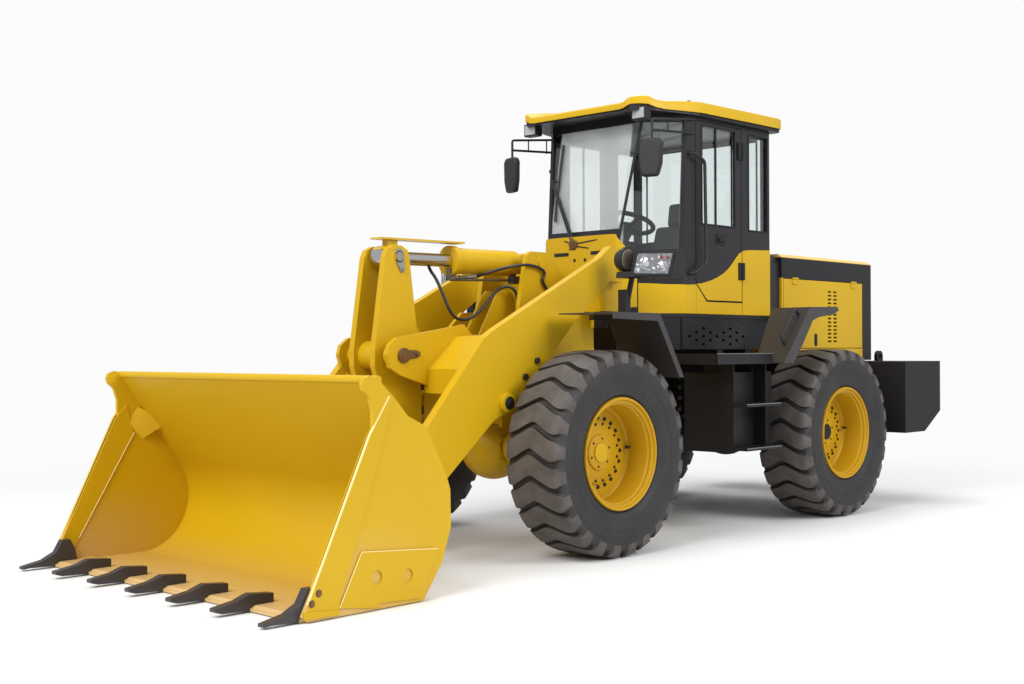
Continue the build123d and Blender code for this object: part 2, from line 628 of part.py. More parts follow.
# ---- Rear frame -------------------------------------------------------------
def rear_frame():
    """Two rails with cross plates, the hinge ears ahead, the cab's beams and the steering lugs."""
    nose = steer_y - rear_axle_y
    rail = [(nose + 400, 540), (nose + 400, 1180), (nose + 800, 1180), (nose + 860, 1060),
            (counterweight_front_y - seat_gap, 1060), (counterweight_front_y - seat_gap, 660), (340, 660), (250, rear_pad_z),
            (-250, rear_pad_z), (-330, 560)]
    rail_out = rail_x + rail_thickness
    frame = None
    for sx in (1, -1):
        plate = side_plate(rail, *sorted((sx * rail_x, sx * rail_out)), rear_axle_y)
        frame = plate if frame is None else frame + plate
        frame += block(*sorted((sx * 150, sx * 180)), steer_y + 150, steer_y + 430, 500, 1190)
        for beam_y in (350, 720):
            frame += block(*sorted((sx * 150, sx * (cab_half_width - 22))), steer_y + beam_y, steer_y + beam_y + 70, 1170, 1296)
        for low in (steer_z - 64, steer_z + 36):
            frame += flat_plate(
                [(sx * rail_x, steer_y + steer_base_back - 70), (sx * rail_x, steer_y + steer_base_back + 70),
                 (sx * (steer_base_x + 20), steer_y + steer_base_back + 40),
                 (sx * (steer_base_x + 44), steer_y + steer_base_back),
                 (sx * (steer_base_x + 20), steer_y + steer_base_back - 40)], low, low + 28)
        frame += bar_z(18, sx * steer_base_x, steer_y + steer_base_back, steer_z - 64, steer_z + 64)
    frame += block(-rail_out, rail_out, steer_y + 400, steer_y + 430, 500, 1190)
    for cross_y in (-620, 420, counterweight_front_y - 31):
        frame += block(-rail_x - 5, rail_x + 5, rear_axle_y + cross_y, rear_axle_y + cross_y + 28, 900, 1050)
    for z in (upper_hinge_z, lower_hinge_z):
        for low in (z + hinge_eye_thickness / 2 + 3, z - hinge_eye_thickness / 2 - 3 - hinge_ear_thickness):
            high = low + hinge_ear_thickness
            frame += flat_plate([(-180, steer_y + 400), (180, steer_y + 400), (100, steer_y), (-100, steer_y)],
                                low, high)
            frame += bar_z(hinge_eye_radius, 0, steer_y, low, high)
        frame += bar_z(hinge_pin_radius, 0, steer_y, z - 80, z + 80)
    return frame


keep("rear_frame", rear_frame())


def counterweight():
    """Cast counterweight with its tow pocket and two lifting lugs."""
    back = counterweight_back_y
    front = counterweight_front_y
    side = [(front, counterweight_base_z), (back - 290, counterweight_base_z), (back, counterweight_base_z + 168),
            (back, counterweight_top_z), (front, counterweight_top_z)]
    weight = side_plate(side, -counterweight_half_width, counterweight_half_width, rear_axle_y)
    weight -= block(-90, 90, rear_axle_y + back - 170, rear_axle_y + back + 10, 850, 950)
    weight -= bar_z(tow_pin_radius, 0, rear_axle_y + back - tow_pin_inset, 500, 1300)
    for sx in (1, -1):
        x = sx * 620
        lug_y = rear_axle_y + back - 190
        weight += block(x - 16, x + 16, lug_y - 50, lug_y + 50, counterweight_top_z - 10, counterweight_top_z + 40)
        weight += bar_x(50, x - 16, x + 16, lug_y, counterweight_top_z + 40)
        weight -= bar_x(lift_lug_radius, x - 20, x + 20, lug_y, counterweight_top_z + 40)
    return weight


keep("counterweight", counterweight())
keep("engine_block", block(-330, 330, rear_axle_y + 60, rear_axle_y + 880, 1060 + seat_gap, 1740))


# ---- Hood -------------------------------------------------------------------
def hood_shell():
    """Sheet steel hood: top, front and rear frames and the sill, open at both sides for the doors."""
    y0, y1 = rear_axle_y + hood_front_y, rear_axle_y + hood_back_y
    half = hood_half_width
    section = [(-half, hood_base_z), (half, hood_base_z), (half, hood_top_z - 30), (half - 40, hood_top_z),
               (-half + 40, hood_top_z), (-half, hood_top_z - 30)]
    s = hood_skin
    hollow = [(-half + s, hood_base_z - 5), (half - s, hood_base_z - 5), (half - s, hood_top_z - 34),
              (half - 44, hood_top_z - s), (-half + 44, hood_top_z - s), (-half + s, hood_top_z - 34)]
    shell = front_plate(section, y0, y1) - front_plate(hollow, y0 + 20, y1 - 30)
    shell -= block(-half - 5, half + 5, y0 + 24, y1 - hood_post_width, hood_door_low_z, hood_door_high_z)
    shell -= block(-half + 90, half - 90, y1 - 40, y1 + 5, hood_base_z + 60, hood_top_z - 120)
    shell += block(-half + 2, -rail_x, y0, y0 + 20, hood_base_z - 140, hood_base_z)
    shell += block(rail_x, half - 2, y0, y0 + 20, hood_base_z - 140, hood_base_z)
    return shell


def hood_door():
    """Left hood door with its two columns of louvres and the latch pocket."""
    y0 = rear_axle_y + hood_front_y + 24 + door_gap
    y1 = rear_axle_y + hood_back_y - hood_post_width - door_gap
    low, high = hood_door_low_z + door_gap, hood_door_high_z - door_gap
    half = hood_half_width
    door = block(half - hood_skin, half, y0, y1, low, high)
    for column in (0, 1):
        for row in range(louvre_rows):
            z = louvre_low_z + row * louvre_pitch
            y = rear_axle_y + louvre_start + column * louvre_column_pitch
            door -= block(half - hood_skin - 1, half + 1, y, y + louvre_width, z, z + 14)
    knuckle_x = half + seat_gap + hood_knuckle_radius
    for y in (y0 + 120, y1 - 200):
        door += Pos(knuckle_x, y + 40, hood_door_high_z) * Rot(90, 0, 0) * Cylinder(hood_knuckle_radius, 80)
        door += block(half - 2, knuckle_x, y + 4, y + 76, high - 40, hood_door_high_z - 2)
    return door


def hood_collar():
    """Round-cornered hoop that joins the hood to the cab's back, open below."""
    high = hood_top_z - 2
    y1 = rear_axle_y + hood_front_y - seat_gap
    y0 = y1 - hood_collar_depth
    hoop = block(-hood_collar_half_width, hood_collar_half_width, y0, y1, hood_collar_base_z, high)
    hoop = fillet(hoop.edges().filter_by(Axis.Y).group_by(Axis.Z)[-1], hood_collar_radius)
    hollow = block(-hood_collar_half_width + hood_skin, hood_collar_half_width - hood_skin, y0 - 1, y1 + 1,
                   hood_collar_base_z - 1, high - hood_skin)
    hollow = fillet(hollow.edges().filter_by(Axis.Y).group_by(Axis.Z)[-1], hood_collar_radius - hood_skin)
    return hoop - hollow


keep("hood_collar", hood_collar())
keep("hood_shell", hood_shell())
hood_door_solid = hood_door()
keep("hood_door_left", hood_door_solid)
keep("hood_door_right", mirror(hood_door_solid, about=Plane.YZ))


def rear_grille():
    """Radiator grille: frame and slats in the hood's rear opening."""
    half = hood_half_width - 90 - seat_gap
    low, high = hood_base_z + 60 + seat_gap, hood_top_z - 120 - seat_gap
    y0 = rear_axle_y + hood_back_y - 26
    y1 = y0 + 22
    grille = block(-half, half, y0, y1, low, high) - block(-half + 26, half - 26, y0 - 1, y1 + 1, low + 26, high - 26)
    pitch = (high - low - 26) / 14
    for i in range(1, 14):
        z = low + 13 + i * pitch
        grille += block(-half + 20, half - 20, y0 + 4, y1 - 4, z - 9, z + 9)
    return grille


keep("rear_grille", rear_grille())


# ---- Rear fenders and steps -------------------------------------------------
def rear_fender():
    """Left rear fender: sloping front panel, top and narrow outer skirt."""
    t = fender_plate
    sheet = [(-944, 1198), (-586, 1609), (-186, 1618), (-160, 1592), (-168, 1588), (-191, 1609.5), (-582, 1600.5),
             (-936, 1193)]
    inner = rear_fender_inner_x
    fender = side_plate(sheet, inner, fender_outer_x, rear_axle_y)
    fender -= front_plate([(inner - 5, 1180), (inner + 94, 1180), (inner + 9, 1600), (inner - 5, 1600)],
                          rear_axle_y - 960, rear_axle_y - 590)
    skirt = [(-944, 1198), (-586, 1609), (-186, 1618), (-160, 1592), (-240, 1560), (-456, 1536), (-543, 1510),
             (-705, 1311), (-817, 1196)]
    fender += side_plate(skirt, fender_outer_x - t, fender_outer_x, rear_axle_y)
    fender += block(hood_half_width + seat_gap, inner + 30, rear_axle_y - 190, rear_axle_y - 150, 1510, 1604)
    return fender


def steps():
    """Left side box between the wheels with the platform and two steps."""
    x0, x1 = 560, 900
    y0, y1 = steer_y + 36, steer_y + 662
    tank = block(x0, x1, y0, y1, 560, 1130)
    tank += block(rail_x + rail_thickness + seat_gap, x0 + 10, steer_y + 620, steer_y + 655, 900, 1090)
    tank += block(cab_half_width - 14, 1050, steer_y - 165, steer_y + 440, 1200, 1230)
    for y in (y0 + 20, y1 - 260):
        tank += block(x1 - 180, x1, y, y + 40, 1120, 1205)
    for z in (600, 910):
        tank += block(x1 - 10, 1110, steer_y + 20, steer_y + 465, z - 20, z)
    for y in (steer_y + 20, steer_y + 430):
        tank += block(x1 - 5, 1000, y, y + 8, 560, 1205)
    return tank


keep("rear_fenders", *both_sides(rear_fender()))
keep("steps", *both_sides(steps()))


# ---- Cab --------------------------------------------------------------------
def cab_plan(points, inset=0.0):
    """Closed plan of the cab from its left half, a list of (x, y behind the steering axis), inset all round."""
    left = [(x, steer_y + y) for x, y in points]
    right = [(-x, y) for x, y in reversed(left)]
    plan = make_face(Polyline(*left, *right, close=True))
    return offset(plan, -inset, kind=Kind.INTERSECTION) if inset else plan


chamfer = cab_half_width - 320
lower_plan = [(chamfer - 8, -466), (cab_half_width, -108), (cab_half_width, cab_back_y)]
waist_plan = [(chamfer - 20, -454), (cab_half_width, -100), (cab_half_width, cab_back_y)]
head_plan = [(chamfer + 95, -281), (cab_half_width, -47), (cab_half_width, cab_back_y)]
roof_plan = [(cab_half_width - 156, -525), (cab_half_width - 37, -368), (cab_half_width + 66, 20),
             (cab_half_width + 66, cab_back_y + 75), (cab_half_width + 30, cab_back_y + 100)]


def cab_prism(plan, inset, z0, z1):
    return Pos(0, 0, z0) * extrude(cab_plan(plan, inset), z1 - z0)


def cab_taper(inset, z0, z1):
    """Upper cab's form between waist and head, inset all round."""
    return loft([Pos(0, 0, z0) * cab_plan(waist_plan, inset), Pos(0, 0, z1) * cab_plan(head_plan, inset)], ruled=True)


def window_cutters():
    """Prisms of the fixed windows: windshield, two corners, two rear sides, rear."""
    y = steer_y
    head = window_head_z
    foot, crown = chamfer - 9, chamfer + 81
    shield = front_plate([(-foot, 2166), (foot, 2166), (crown, head), (-crown, head)], y - 600, y - 200)
    cutters = [shield]
    corner_plane = Plane(origin=(cab_half_width - 170, y - 277, 0), x_dir=(340, 354, 0), z_dir=(354, -340, 0))
    pane = make_face(Polyline((-228, 2010), (214, 2010), (250, head), (-39, head), close=True))
    corner = extrude(corner_plane * pane, 160, both=True)
    rear_side = side_plate([(742, 2205), (1000, 2205), (1000, head), (742, head)], cab_half_width - 100,
                           cab_half_width + 50, y)
    for piece in (corner, rear_side):
        cutters += both_sides(piece)
    cutters.append(front_plate([(-590, 2190), (590, 2190), (590, head), (-590, head)], y + cab_back_y - 100,
                               y + cab_back_y + 100))
    return cutters


def door_outline(inset):
    """Door's (y, z) outline with its slanted front lower corner, inset all round."""
    y0, y1 = door_front_y + inset, door_hinge_y - inset
    z0, z1 = door_sill_z + inset, door_head_z - inset
    return [(y0, z1), (y1, z1), (y1, z0), (y0 + 136, z0), (y0, z0 + 150)]


def door_window(inset):
    front, rear = door_front_y + 84 + inset, door_hinge_y - 86 - inset
    return [(front, window_head_z - inset), (rear, window_head_z - inset), (rear, 2216 + inset), (front, 2216 + inset)]


cutters = window_cutters()
door_opening = side_plate(door_outline(0), cab_half_width - 100, cab_half_width + 50, steer_y)
lower = cab_prism(lower_plan, 0, cab_floor_z, cab_waist_z) - cab_prism(lower_plan, cab_wall, cab_floor_z + 30,
                                                                       cab_waist_z + 5)
lower += cab_prism(lower_plan, 0, cab_waist_z - 30, cab_waist_z) - cab_prism(waist_plan, cab_wall, cab_waist_z - 31,
                                                                             cab_waist_z + 5)
upper = cab_taper(0, cab_waist_z + seat_gap, cab_head_z) - cab_taper(cab_wall, cab_waist_z - 1, cab_head_z + 1)
ceiling = cab_prism(head_plan, 0, cab_head_z - 26, cab_head_z)
upper += ceiling
for cutter in cutters + both_sides(door_opening):
    upper -= cutter
for cutter in both_sides(door_opening):
    lower -= cutter
keep("cab_lower", lower)
keep("cab_frame", upper)

glass_band = cab_taper(14, cab_waist_z + 1, cab_head_z) - cab_taper(14 + glass_thickness, cab_waist_z, cab_head_z + 1)
keep("cab_glass", *[glass_band & cutter for cutter in cutters])


def cab_door():
    """Left door: pressed frame with its window cut and two hinge knuckles behind."""
    inner_x = cab_half_width - cab_wall
    door = side_plate(door_outline(door_gap), inner_x, cab_half_width, steer_y)
    door -= side_plate(door_window(0), inner_x - 5, cab_half_width + 5, steer_y)
    for z in (1850, 2760):
        door += bar_z(door_hinge_radius, cab_half_width + door_hinge_out, steer_y + door_hinge_y, z, z + 70)
        door += block(cab_half_width - 4, cab_half_width + 10, steer_y + door_hinge_y - 50,
                      steer_y + door_hinge_y, z, z + 70)
    return door


door_solid = cab_door()
pane_solid = side_plate(door_window(seat_gap), cab_half_width - 20 - glass_thickness, cab_half_width - 20, steer_y)
for side_name, side in (("left", 1), ("right", -1)):
    keep(f"cab_door_{side_name}", on_side(side, door_solid))
    keep(f"door_glass_{side_name}", on_side(side, pane_solid))

keep("cab_base", cab_prism(lower_plan, 6, 1296 + seat_gap, cab_floor_z - seat_gap)
     - cab_prism(lower_plan, 14, 1290, cab_floor_z - 20)
     + block(12 - cab_half_width, cab_half_width - 12, steer_y + 330, steer_y + 440, 1296 + seat_gap, 1316)
     + block(12 - cab_half_width, cab_half_width - 12, steer_y + 700, steer_y + 810, 1296 + seat_gap, 1316))


def roof():
    """Roof: dark tray over the cab's head with the yellow cap crowned above it."""
    tray_top = cab_head_z + roof_tray_height
    shoulder = tray_top + roof_rim_height
    tray = cab_prism(roof_plan, 16, cab_head_z + seat_gap, tray_top)
    cap = loft([Pos(0, 0, tray_top + seat_gap) * cab_plan(roof_plan), Pos(0, 0, shoulder) * cab_plan(roof_plan, 12)],
               ruled=True)
    cap += loft([Pos(0, 0, shoulder) * cab_plan(roof_plan, 12),
                 Pos(0, 0, shoulder + roof_crown_height) * cab_plan(roof_plan, 80)], ruled=True)
    brim = roof_plan[0][0] - 56
    front = roof_plan[0][1]
    slope = [(front - 5, shoulder - 62), (front + 130, shoulder + 6), (front + 130, shoulder + 40),
             (front - 5, shoulder + 40)]
    cap -= side_plate(slope, -brim, brim, steer_y)
    cap += block(-brim, brim, steer_y + front, steer_y + front + 14, tray_top - roof_brim_drop, tray_top + 8)
    return tray, cap


roof_tray, roof_cap = roof()
for sx in (1, -1):
    lamp_x = sx * (cab_half_width - 138)
    roof_tray += block(lamp_x - 56, lamp_x + 56, steer_y - 436, steer_y - 372, cab_head_z - 62, cab_head_z + 30)
keep("roof_tray", roof_tray)
keep("roof_cap", roof_cap)


def seat():
    """Driver's seat: pedestal, cushion, back and head restraint."""
    y = steer_y + 80
    body = block(-150, 150, y + 180, y + 520, cab_floor_z + 30 + seat_gap, 1900)
    body += block(-245, 245, y + 130, y + 600, 1895, 2010)
    back = [(560, 2000), (650, 2290), (730, 2275), (650, 2000)]
    body += side_plate(back, -230, 230, y)
    head = [(640, 2280), (668, 2470), (744, 2455), (722, 2270)]
    body += side_plate(head, -125, 125, y)
    return body


def steering_column():
    """Console, raked column and steering wheel."""
    y = steer_y
    foot = (0, y - 330, cab_floor_z + 70)
    hub = (0, y + 40, 2235)
    column = bar_between(46, foot, hub) + block(-130, 130, y - 398, y - 250, cab_floor_z + 30 + seat_gap, 1900)
    line = Plane(origin=hub, x_dir=(1, 0, 0), z_dir=Vector(*hub) - Vector(*foot))
    wheel = line * Torus(190, 15)
    for angle in (0, 120, 240):
        wheel += line * Rot(0, 0, angle) * Pos(100, 0, 0) * Box(210, 26, 12)
    return column + wheel + line * Cylinder(60, 60)


keep("seat", seat())
keep("steering_column", steering_column())


def mirror_unit():
    """Left mirror head on its bent tube bracket."""
    y = steer_y
    pillar = cab_half_width + seat_gap
    x = pillar + 12
    head = Pos(x - 4, y - 490, 2625) * Rot(0, 0, -14) * Box(180, 52, 290)
    high, low = cab_head_z - 24, cab_head_z - 126
    arm = bar_x(12, pillar, x + 14, y + 20, high)
    arm += bar_x(12, pillar, x + 14, y + 20, low)
    arm += bar_between(9, (x, y + 20, high), (x, y - 487, high - 60))
    arm += bar_between(9, (x, y + 20, low), (x, y - 487, low - 34))
    arm += bar_z(11, x, y - 487, 2760, high - 48)
    return head + arm


keep("mirrors", *both_sides(mirror_unit()))

os.makedirs("parts", exist_ok=True)
for name, solids in pieces.items():
    found = [s for shape in solids for s in shape.solids()]
    export_step(Compound(children=found) if len(found) > 1 else found[0], f"parts/{name}.step")
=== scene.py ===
from math import cos, hypot, radians, sin, tau

import bmesh
import bpy
from mathutils import Matrix, Vector


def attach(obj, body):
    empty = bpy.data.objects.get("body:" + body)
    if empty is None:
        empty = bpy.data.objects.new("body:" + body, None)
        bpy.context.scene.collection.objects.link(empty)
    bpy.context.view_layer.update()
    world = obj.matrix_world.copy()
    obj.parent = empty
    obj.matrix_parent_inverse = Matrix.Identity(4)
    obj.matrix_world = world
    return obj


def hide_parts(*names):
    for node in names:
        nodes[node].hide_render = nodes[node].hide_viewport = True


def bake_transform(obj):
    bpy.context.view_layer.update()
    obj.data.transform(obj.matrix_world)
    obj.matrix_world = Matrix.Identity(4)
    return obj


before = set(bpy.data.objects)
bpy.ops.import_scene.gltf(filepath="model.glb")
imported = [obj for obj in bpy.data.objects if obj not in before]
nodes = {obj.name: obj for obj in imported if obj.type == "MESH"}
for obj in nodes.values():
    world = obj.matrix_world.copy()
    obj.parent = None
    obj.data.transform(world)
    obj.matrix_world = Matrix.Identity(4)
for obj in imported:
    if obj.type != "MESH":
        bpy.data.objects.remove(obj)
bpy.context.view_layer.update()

# ---- Studio ---------------------------------------------------------------------------------
# A pale concrete floor that fades out into a white backdrop, under a soft sky dome and three big
# soft lamps: the main one ahead of the machine, a weaker one over its left side and one overhead.
ground_reach = 60.0
fade_start, fade_end = 3.0, 8.5
dome_strength, backdrop_strength = 0.62, 0.97


def surface(name, colour, roughness, metallic=0.0, coat=0.0, specular=0.5):
    """A plain finish: a colour, how rough and how metallic it is, and any clear coat over it."""
    made = bpy.data.materials.new(name)
    made.use_nodes = True
    shader = made.node_tree.nodes["Principled BSDF"]
    shader.inputs["Base Color"].default_value = (*colour, 1)
    for socket, amount in (("Roughness", roughness), ("Metallic", metallic), ("Coat Weight", coat),
                           ("Coat Roughness", 0.08), ("Specular IOR Level", specular)):
        shader.inputs[socket].default_value = amount
    return made


def add_node(tree, kind, inputs, operation=None):
    """Adds a shader node; inputs gives its sockets plain values, or the outputs that feed them."""
    made = tree.nodes.new("ShaderNode" + kind)
    if operation:
        made.operation = operation
    for socket, source in inputs.items():
        if isinstance(source, bpy.types.NodeSocket):
            tree.links.new(source, made.inputs[socket])
        else:
            made.inputs[socket].default_value = source
    return made


def own_place(tree):
    """The point being shaded, in metres in the machine's own frame."""
    return add_node(tree, "TexCoord", {}).outputs["Object"]


def shader_input(tree, socket):
    """One of the inputs of a material's shader."""
    return tree.nodes["Principled BSDF"].inputs[socket]


def put(name, data):
    """Adds an object that shows a mesh, a lamp or a camera."""
    made = bpy.data.objects.new(name, data)
    bpy.context.collection.objects.link(made)
    return made


ground_mesh = bpy.data.meshes.new("ground")
ground_corners = [(x * ground_reach, y * ground_reach, 0)
                  for x, y in ((-1, -1), (1, -1), (1, 1), (-1, 1))]
ground_mesh.from_pydata(ground_corners, [], [(0, 1, 2, 3)])
ground = put("ground", ground_mesh)
ground_mesh.materials.append(surface("pale concrete", (0.80, 0.80, 0.79), 0.85, specular=0.2))
floor_tree = ground_mesh.materials[0].node_tree
floor_reach = add_node(floor_tree, "VectorMath", {0: own_place(floor_tree)}, "LENGTH")
floor_fade = add_node(floor_tree, "MapRange", {"Value": floor_reach.outputs["Value"],
                                               "From Min": fade_start, "From Max": fade_end})
floor_fade.interpolation_type = "SMOOTHERSTEP"
floor_clear = add_node(floor_tree, "BsdfTransparent", {})
floor_mix = add_node(floor_tree, "MixShader", {
    "Fac": floor_fade.outputs["Result"], 1: floor_tree.nodes["Principled BSDF"].outputs[0],
    2: floor_clear.outputs[0]})
floor_tree.links.new(floor_mix.outputs[0], floor_tree.nodes["Material Output"].inputs["Surface"])

sky = bpy.data.worlds.new("sky dome")
bpy.context.scene.world = sky
sky.use_nodes = True
sky_tree = sky.node_tree
dome = sky_tree.nodes["Background"]
dome.inputs["Color"].default_value = (0.93, 0.96, 1.0, 1)
dome.inputs["Strength"].default_value = dome_strength
backdrop = add_node(sky_tree, "Background", {"Color": (1.0, 1.0, 1.0, 1), "Strength": backdrop_strength})
rays = add_node(sky_tree, "LightPath", {})
seen = add_node(sky_tree, "Math", {0: rays.outputs["Is Camera Ray"],
                                   1: rays.outputs["Is Transmission Ray"]}, "MAXIMUM")
sky_mix = add_node(sky_tree, "MixShader", {0: seen.outputs[0], 1: dome.outputs[0],
                                           2: backdrop.outputs[0]})
sky_tree.links.new(sky_mix.outputs[0], sky_tree.nodes["World Output"].inputs["Surface"])

for lamp_name, power, size, place, target in (
        ("front lamp", 1280, 7.0, (1.5, -11.0, 8.5), (0, -1.0, 0.8)),
        ("side lamp", 750, 6.0, (10.0, 1.5, 7.0), (0, 0.5, 1.2)),
        ("top lamp", 420, 6.0, (-2.0, 2.0, 9.5), (0, 0, 1.0))):
    lamp = bpy.data.lights.new(lamp_name, "AREA")
    lamp.energy = power
    lamp.size = size
    lamp_object = put(lamp_name, lamp)
    lamp_object.location = place
    lamp_object.rotation_euler = (Vector(target) - Vector(place)).to_track_quat("-Z", "Y").to_euler()

yaw, pitch, roll = radians(43.517), radians(-0.33), radians(-0.184)
camera_place = Vector((6.240, -7.211, 1.300))
focal_length, sensor_width, view_end = 46.08, 36.0, 200.0
behind = Vector((sin(yaw) * cos(pitch), -cos(yaw) * cos(pitch), sin(pitch)))
level_right = (-behind).cross(Vector((0, 0, 1))).normalized()
level_up = level_right.cross(-behind)
right = level_right * cos(roll) + level_up * sin(roll)
up = level_up * cos(roll) - level_right * sin(roll)
camera = put("camera", bpy.data.cameras.new("camera"))
camera.data.sensor_width = sensor_width
camera.data.lens = focal_length
camera.data.clip_end = view_end
camera.matrix_world = Matrix((*zip(right, up, behind, camera_place), (0, 0, 0, 1)))
bpy.context.scene.camera = camera
bpy.context.scene.view_settings.view_transform = "Standard"

# ---- Tyres ----------------------------------------------------------------------------------
# Four 17.5-25 earthmover tyres of black rubber, moulded in one piece with twenty-five full-width
# chevron lugs, open shoulders between the lug ends and plain sidewalls with three fine ribs.
hub_z = 0.648
wheel_x = 0.925
wheel_places = {"front": -0.825, "rear": 1.946}
lug_count = 25
lug_pitch = tau / lug_count
lug_start = {"front": 0.35, "rear": 0.8}


def rubber(name, dark, light, grain):
    """Black rubber with a thin film of pale dust, uneven over some ten centimetres."""
    made = surface(name, dark, 0.62, specular=0.45)
    tree = made.node_tree
    dust = add_node(tree, "TexNoise", {"Vector": own_place(tree), "Scale": grain, "Detail": 5.0})
    spread = add_node(tree, "ValToRGB", {"Fac": dust.outputs["Fac"]})
    for step, position, shade in zip(spread.color_ramp.elements, (0.35, 0.70), (dark, light)):
        step.color = (*shade, 1)
        step.position = position
    tree.links.new(spread.outputs["Color"], shader_input(tree, "Base Color"))
    return made


tread_rubber = rubber("dusty tread rubber", (0.060, 0.051, 0.046), (0.098, 0.085, 0.077), 9.0)
groove_rubber = rubber("groove rubber", (0.022, 0.019, 0.018), (0.036, 0.032, 0.030), 12.0)
sidewall_rubber = rubber("sidewall rubber", (0.016, 0.0145, 0.015), (0.024, 0.022, 0.022), 6.0)

# Half a tyre from its middle plane outwards. A lug row is (x, groove radius, lug radius, how far the
# chevron has swung back and the groove's share, both in lug pitches). A wall row is (x, radius).
lug_rows = [(0.0, 0.6195, 0.648, 0.0, 0.17), (0.012, 0.6195, 0.648, 0.012, 0.17),
            (0.030, 0.6195, 0.648, 0.055, 0.17), (0.075, 0.619, 0.6472, 0.20, 0.17),
            (0.120, 0.618, 0.646, 0.345, 0.17), (0.150, 0.617, 0.6445, 0.42, 0.175),
            (0.172, 0.615, 0.642, 0.445, 0.19), (0.190, 0.611, 0.6375, 0.43, 0.22),
            (0.199, 0.606, 0.632, 0.41, 0.26), (0.2055, 0.600, 0.622, 0.40, 0.31),
            (0.2125, 0.590, 0.604, 0.395, 0.36), (0.2165, 0.576, 0.582, 0.39, 0.38),
            (0.2175, 0.562, 0.564, 0.385, 0.40)]
wall_rows = [(0.2182, 0.556), (0.2205, 0.545), (0.2225, 0.522), (0.2225, 0.500), (0.2216, 0.486),
             (0.2238, 0.483), (0.2238, 0.479), (0.2208, 0.476), (0.2180, 0.452), (0.2130, 0.428),
             (0.2085, 0.412), (0.2100, 0.409), (0.2096, 0.404), (0.2058, 0.400), (0.1990, 0.384),
             (0.1930, 0.372), (0.1860, 0.3655), (0.1752, 0.360), (0.1745, 0.340), (0.1745, 0.3178)]


def tyre_mesh(phase):
    """Ring of lugs and grooves that follow the chevron, closed by the sidewalls and the bead seat."""
    last_shift, last_share = lug_rows[-1][3:]
    half_table = [(*row, True) for row in lug_rows]
    half_table += [(x, r, r, last_shift, last_share, False) for x, r in wall_rows]
    table = [(-x, *rest) for x, *rest in reversed(half_table)] + half_table[1:]
    verts, faces, kinds = [], [], []
    cuts = 8
    ring = lug_count * cuts
    for x, low, high, shift, share, _ in table:
        wall = 0.035 if share < 0.3 else 0.07
        marks = [0.0, wall, 0.33 - wall / 3, 0.66 - wall / 2 - share / 2, 1 - share - wall, 1 - share,
                 1 - share * 0.66, 1 - share * 0.33]
        tops = [low, high, high, high, high, low, low, low]
        for lug in range(lug_count):
            for mark, r in zip(marks, tops):
                angle = phase + (lug + mark - shift) * lug_pitch
                verts.append((x, -r * cos(angle), r * sin(angle)))
    for row in range(len(table) - 1):
        lugged = table[row][5] and table[row + 1][5]
        for i in range(ring):
            a, b = row * ring + i, row * ring + (i + 1) % ring
            faces.append((a, b, b + ring, a + ring))
            kinds.append((0 if i % cuts in (1, 2, 3) else 1) if lugged else 2)
    last = (len(table) - 1) * ring
    faces += [(last + i, last + (i + 1) % ring, (i + 1) % ring, i) for i in range(ring)]
    kinds += [2] * ring
    made = bpy.data.meshes.new("tyre")
    made.from_pydata(verts, [], faces)
    for material in (tread_rubber, groove_rubber, sidewall_rubber):
        made.materials.append(material)
    made.polygons.foreach_set("material_index", kinds)
    shaped = bmesh.new()
    shaped.from_mesh(made)
    bmesh.ops.recalc_face_normals(shaped, faces=shaped.faces)
    for edge in shaped.edges:
        edge.smooth = edge.calc_face_angle(0) < radians(27)
    for face in shaped.faces:
        face.smooth = True
    shaped.to_mesh(made)
    shaped.free()
    return made


for axle_name, axle_y in wheel_places.items():
    tyre_shape = tyre_mesh(lug_start[axle_name] * lug_pitch)
    tyre_shape.transform(Matrix.Translation((0, axle_y, hub_z)))
    for side_name, side in (("left", 1), ("right", -1)):
        node = f"tyre_{axle_name}_{side_name}"
        shape = tyre_shape.copy()
        shape.transform(Matrix.Translation((side * wheel_x, 0, 0)))
        tyre = put(f"lugged_{node}", shape)
        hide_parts(node)
        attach(tyre, f"wheel_{axle_name}_{side_name}")

# ---- Rims -----------------------------------------------------------------------------------
# Pressed and welded five-piece steel rims in the machine's yellow: a rolled flange, a lock ring
# in its gutter, a deep barrel and a flat disc bolted to the planetary hub with two rings of
# screws. Six more hold the hub's cap.


def yellow_paint(name, colour=(0.60, 0.372, 0.006), shade=(0.55, 0.332, 0.004), roughness=0.38):
    """Two-pack machine enamel: a saturated yellow, faintly uneven from the spray gun."""
    made = surface(name, colour, roughness, specular=0.28)
    tree = made.node_tree
    cloud = add_node(tree, "TexNoise", {"Vector": own_place(tree), "Scale": 1.7, "Detail": 3.0})
    blend = add_node(tree, "MixRGB", {"Fac": cloud.outputs["Fac"], "Color1": (*shade, 1),
                                      "Color2": (*colour, 1)})
    tree.links.new(blend.outputs["Color"], shader_input(tree, "Base Color"))
    return made


yellow = yellow_paint("machine yellow enamel")
rim_yellow = yellow_paint("rim yellow enamel", (0.52, 0.29, 0.005), (0.47, 0.255, 0.004), 0.45)
bolt_steel = surface("dark plated screws", (0.05, 0.045, 0.038), 0.45, metallic=0.6)


def turned(bm, profile, steps):
    """Adds a closed ring turned about the X axis from (x, r) points."""
    rings = []
    for x, r in profile:
        rings.append([bm.verts.new((x, -r * cos(tau * i / steps), r * sin(tau * i / steps)))
                      for i in range(steps)])
    for here, there in zip(rings, rings[1:] + rings[:1]):
        for i in range(steps):
            k = (i + 1) % steps
            bm.faces.new((here[i], here[k], there[k], there[i]))


def finish_faces(verts, material):
    """Gives the faces round some new corners one of the piece's materials."""
    for vert in verts:
        for face in vert.link_faces:
            face.material_index = material


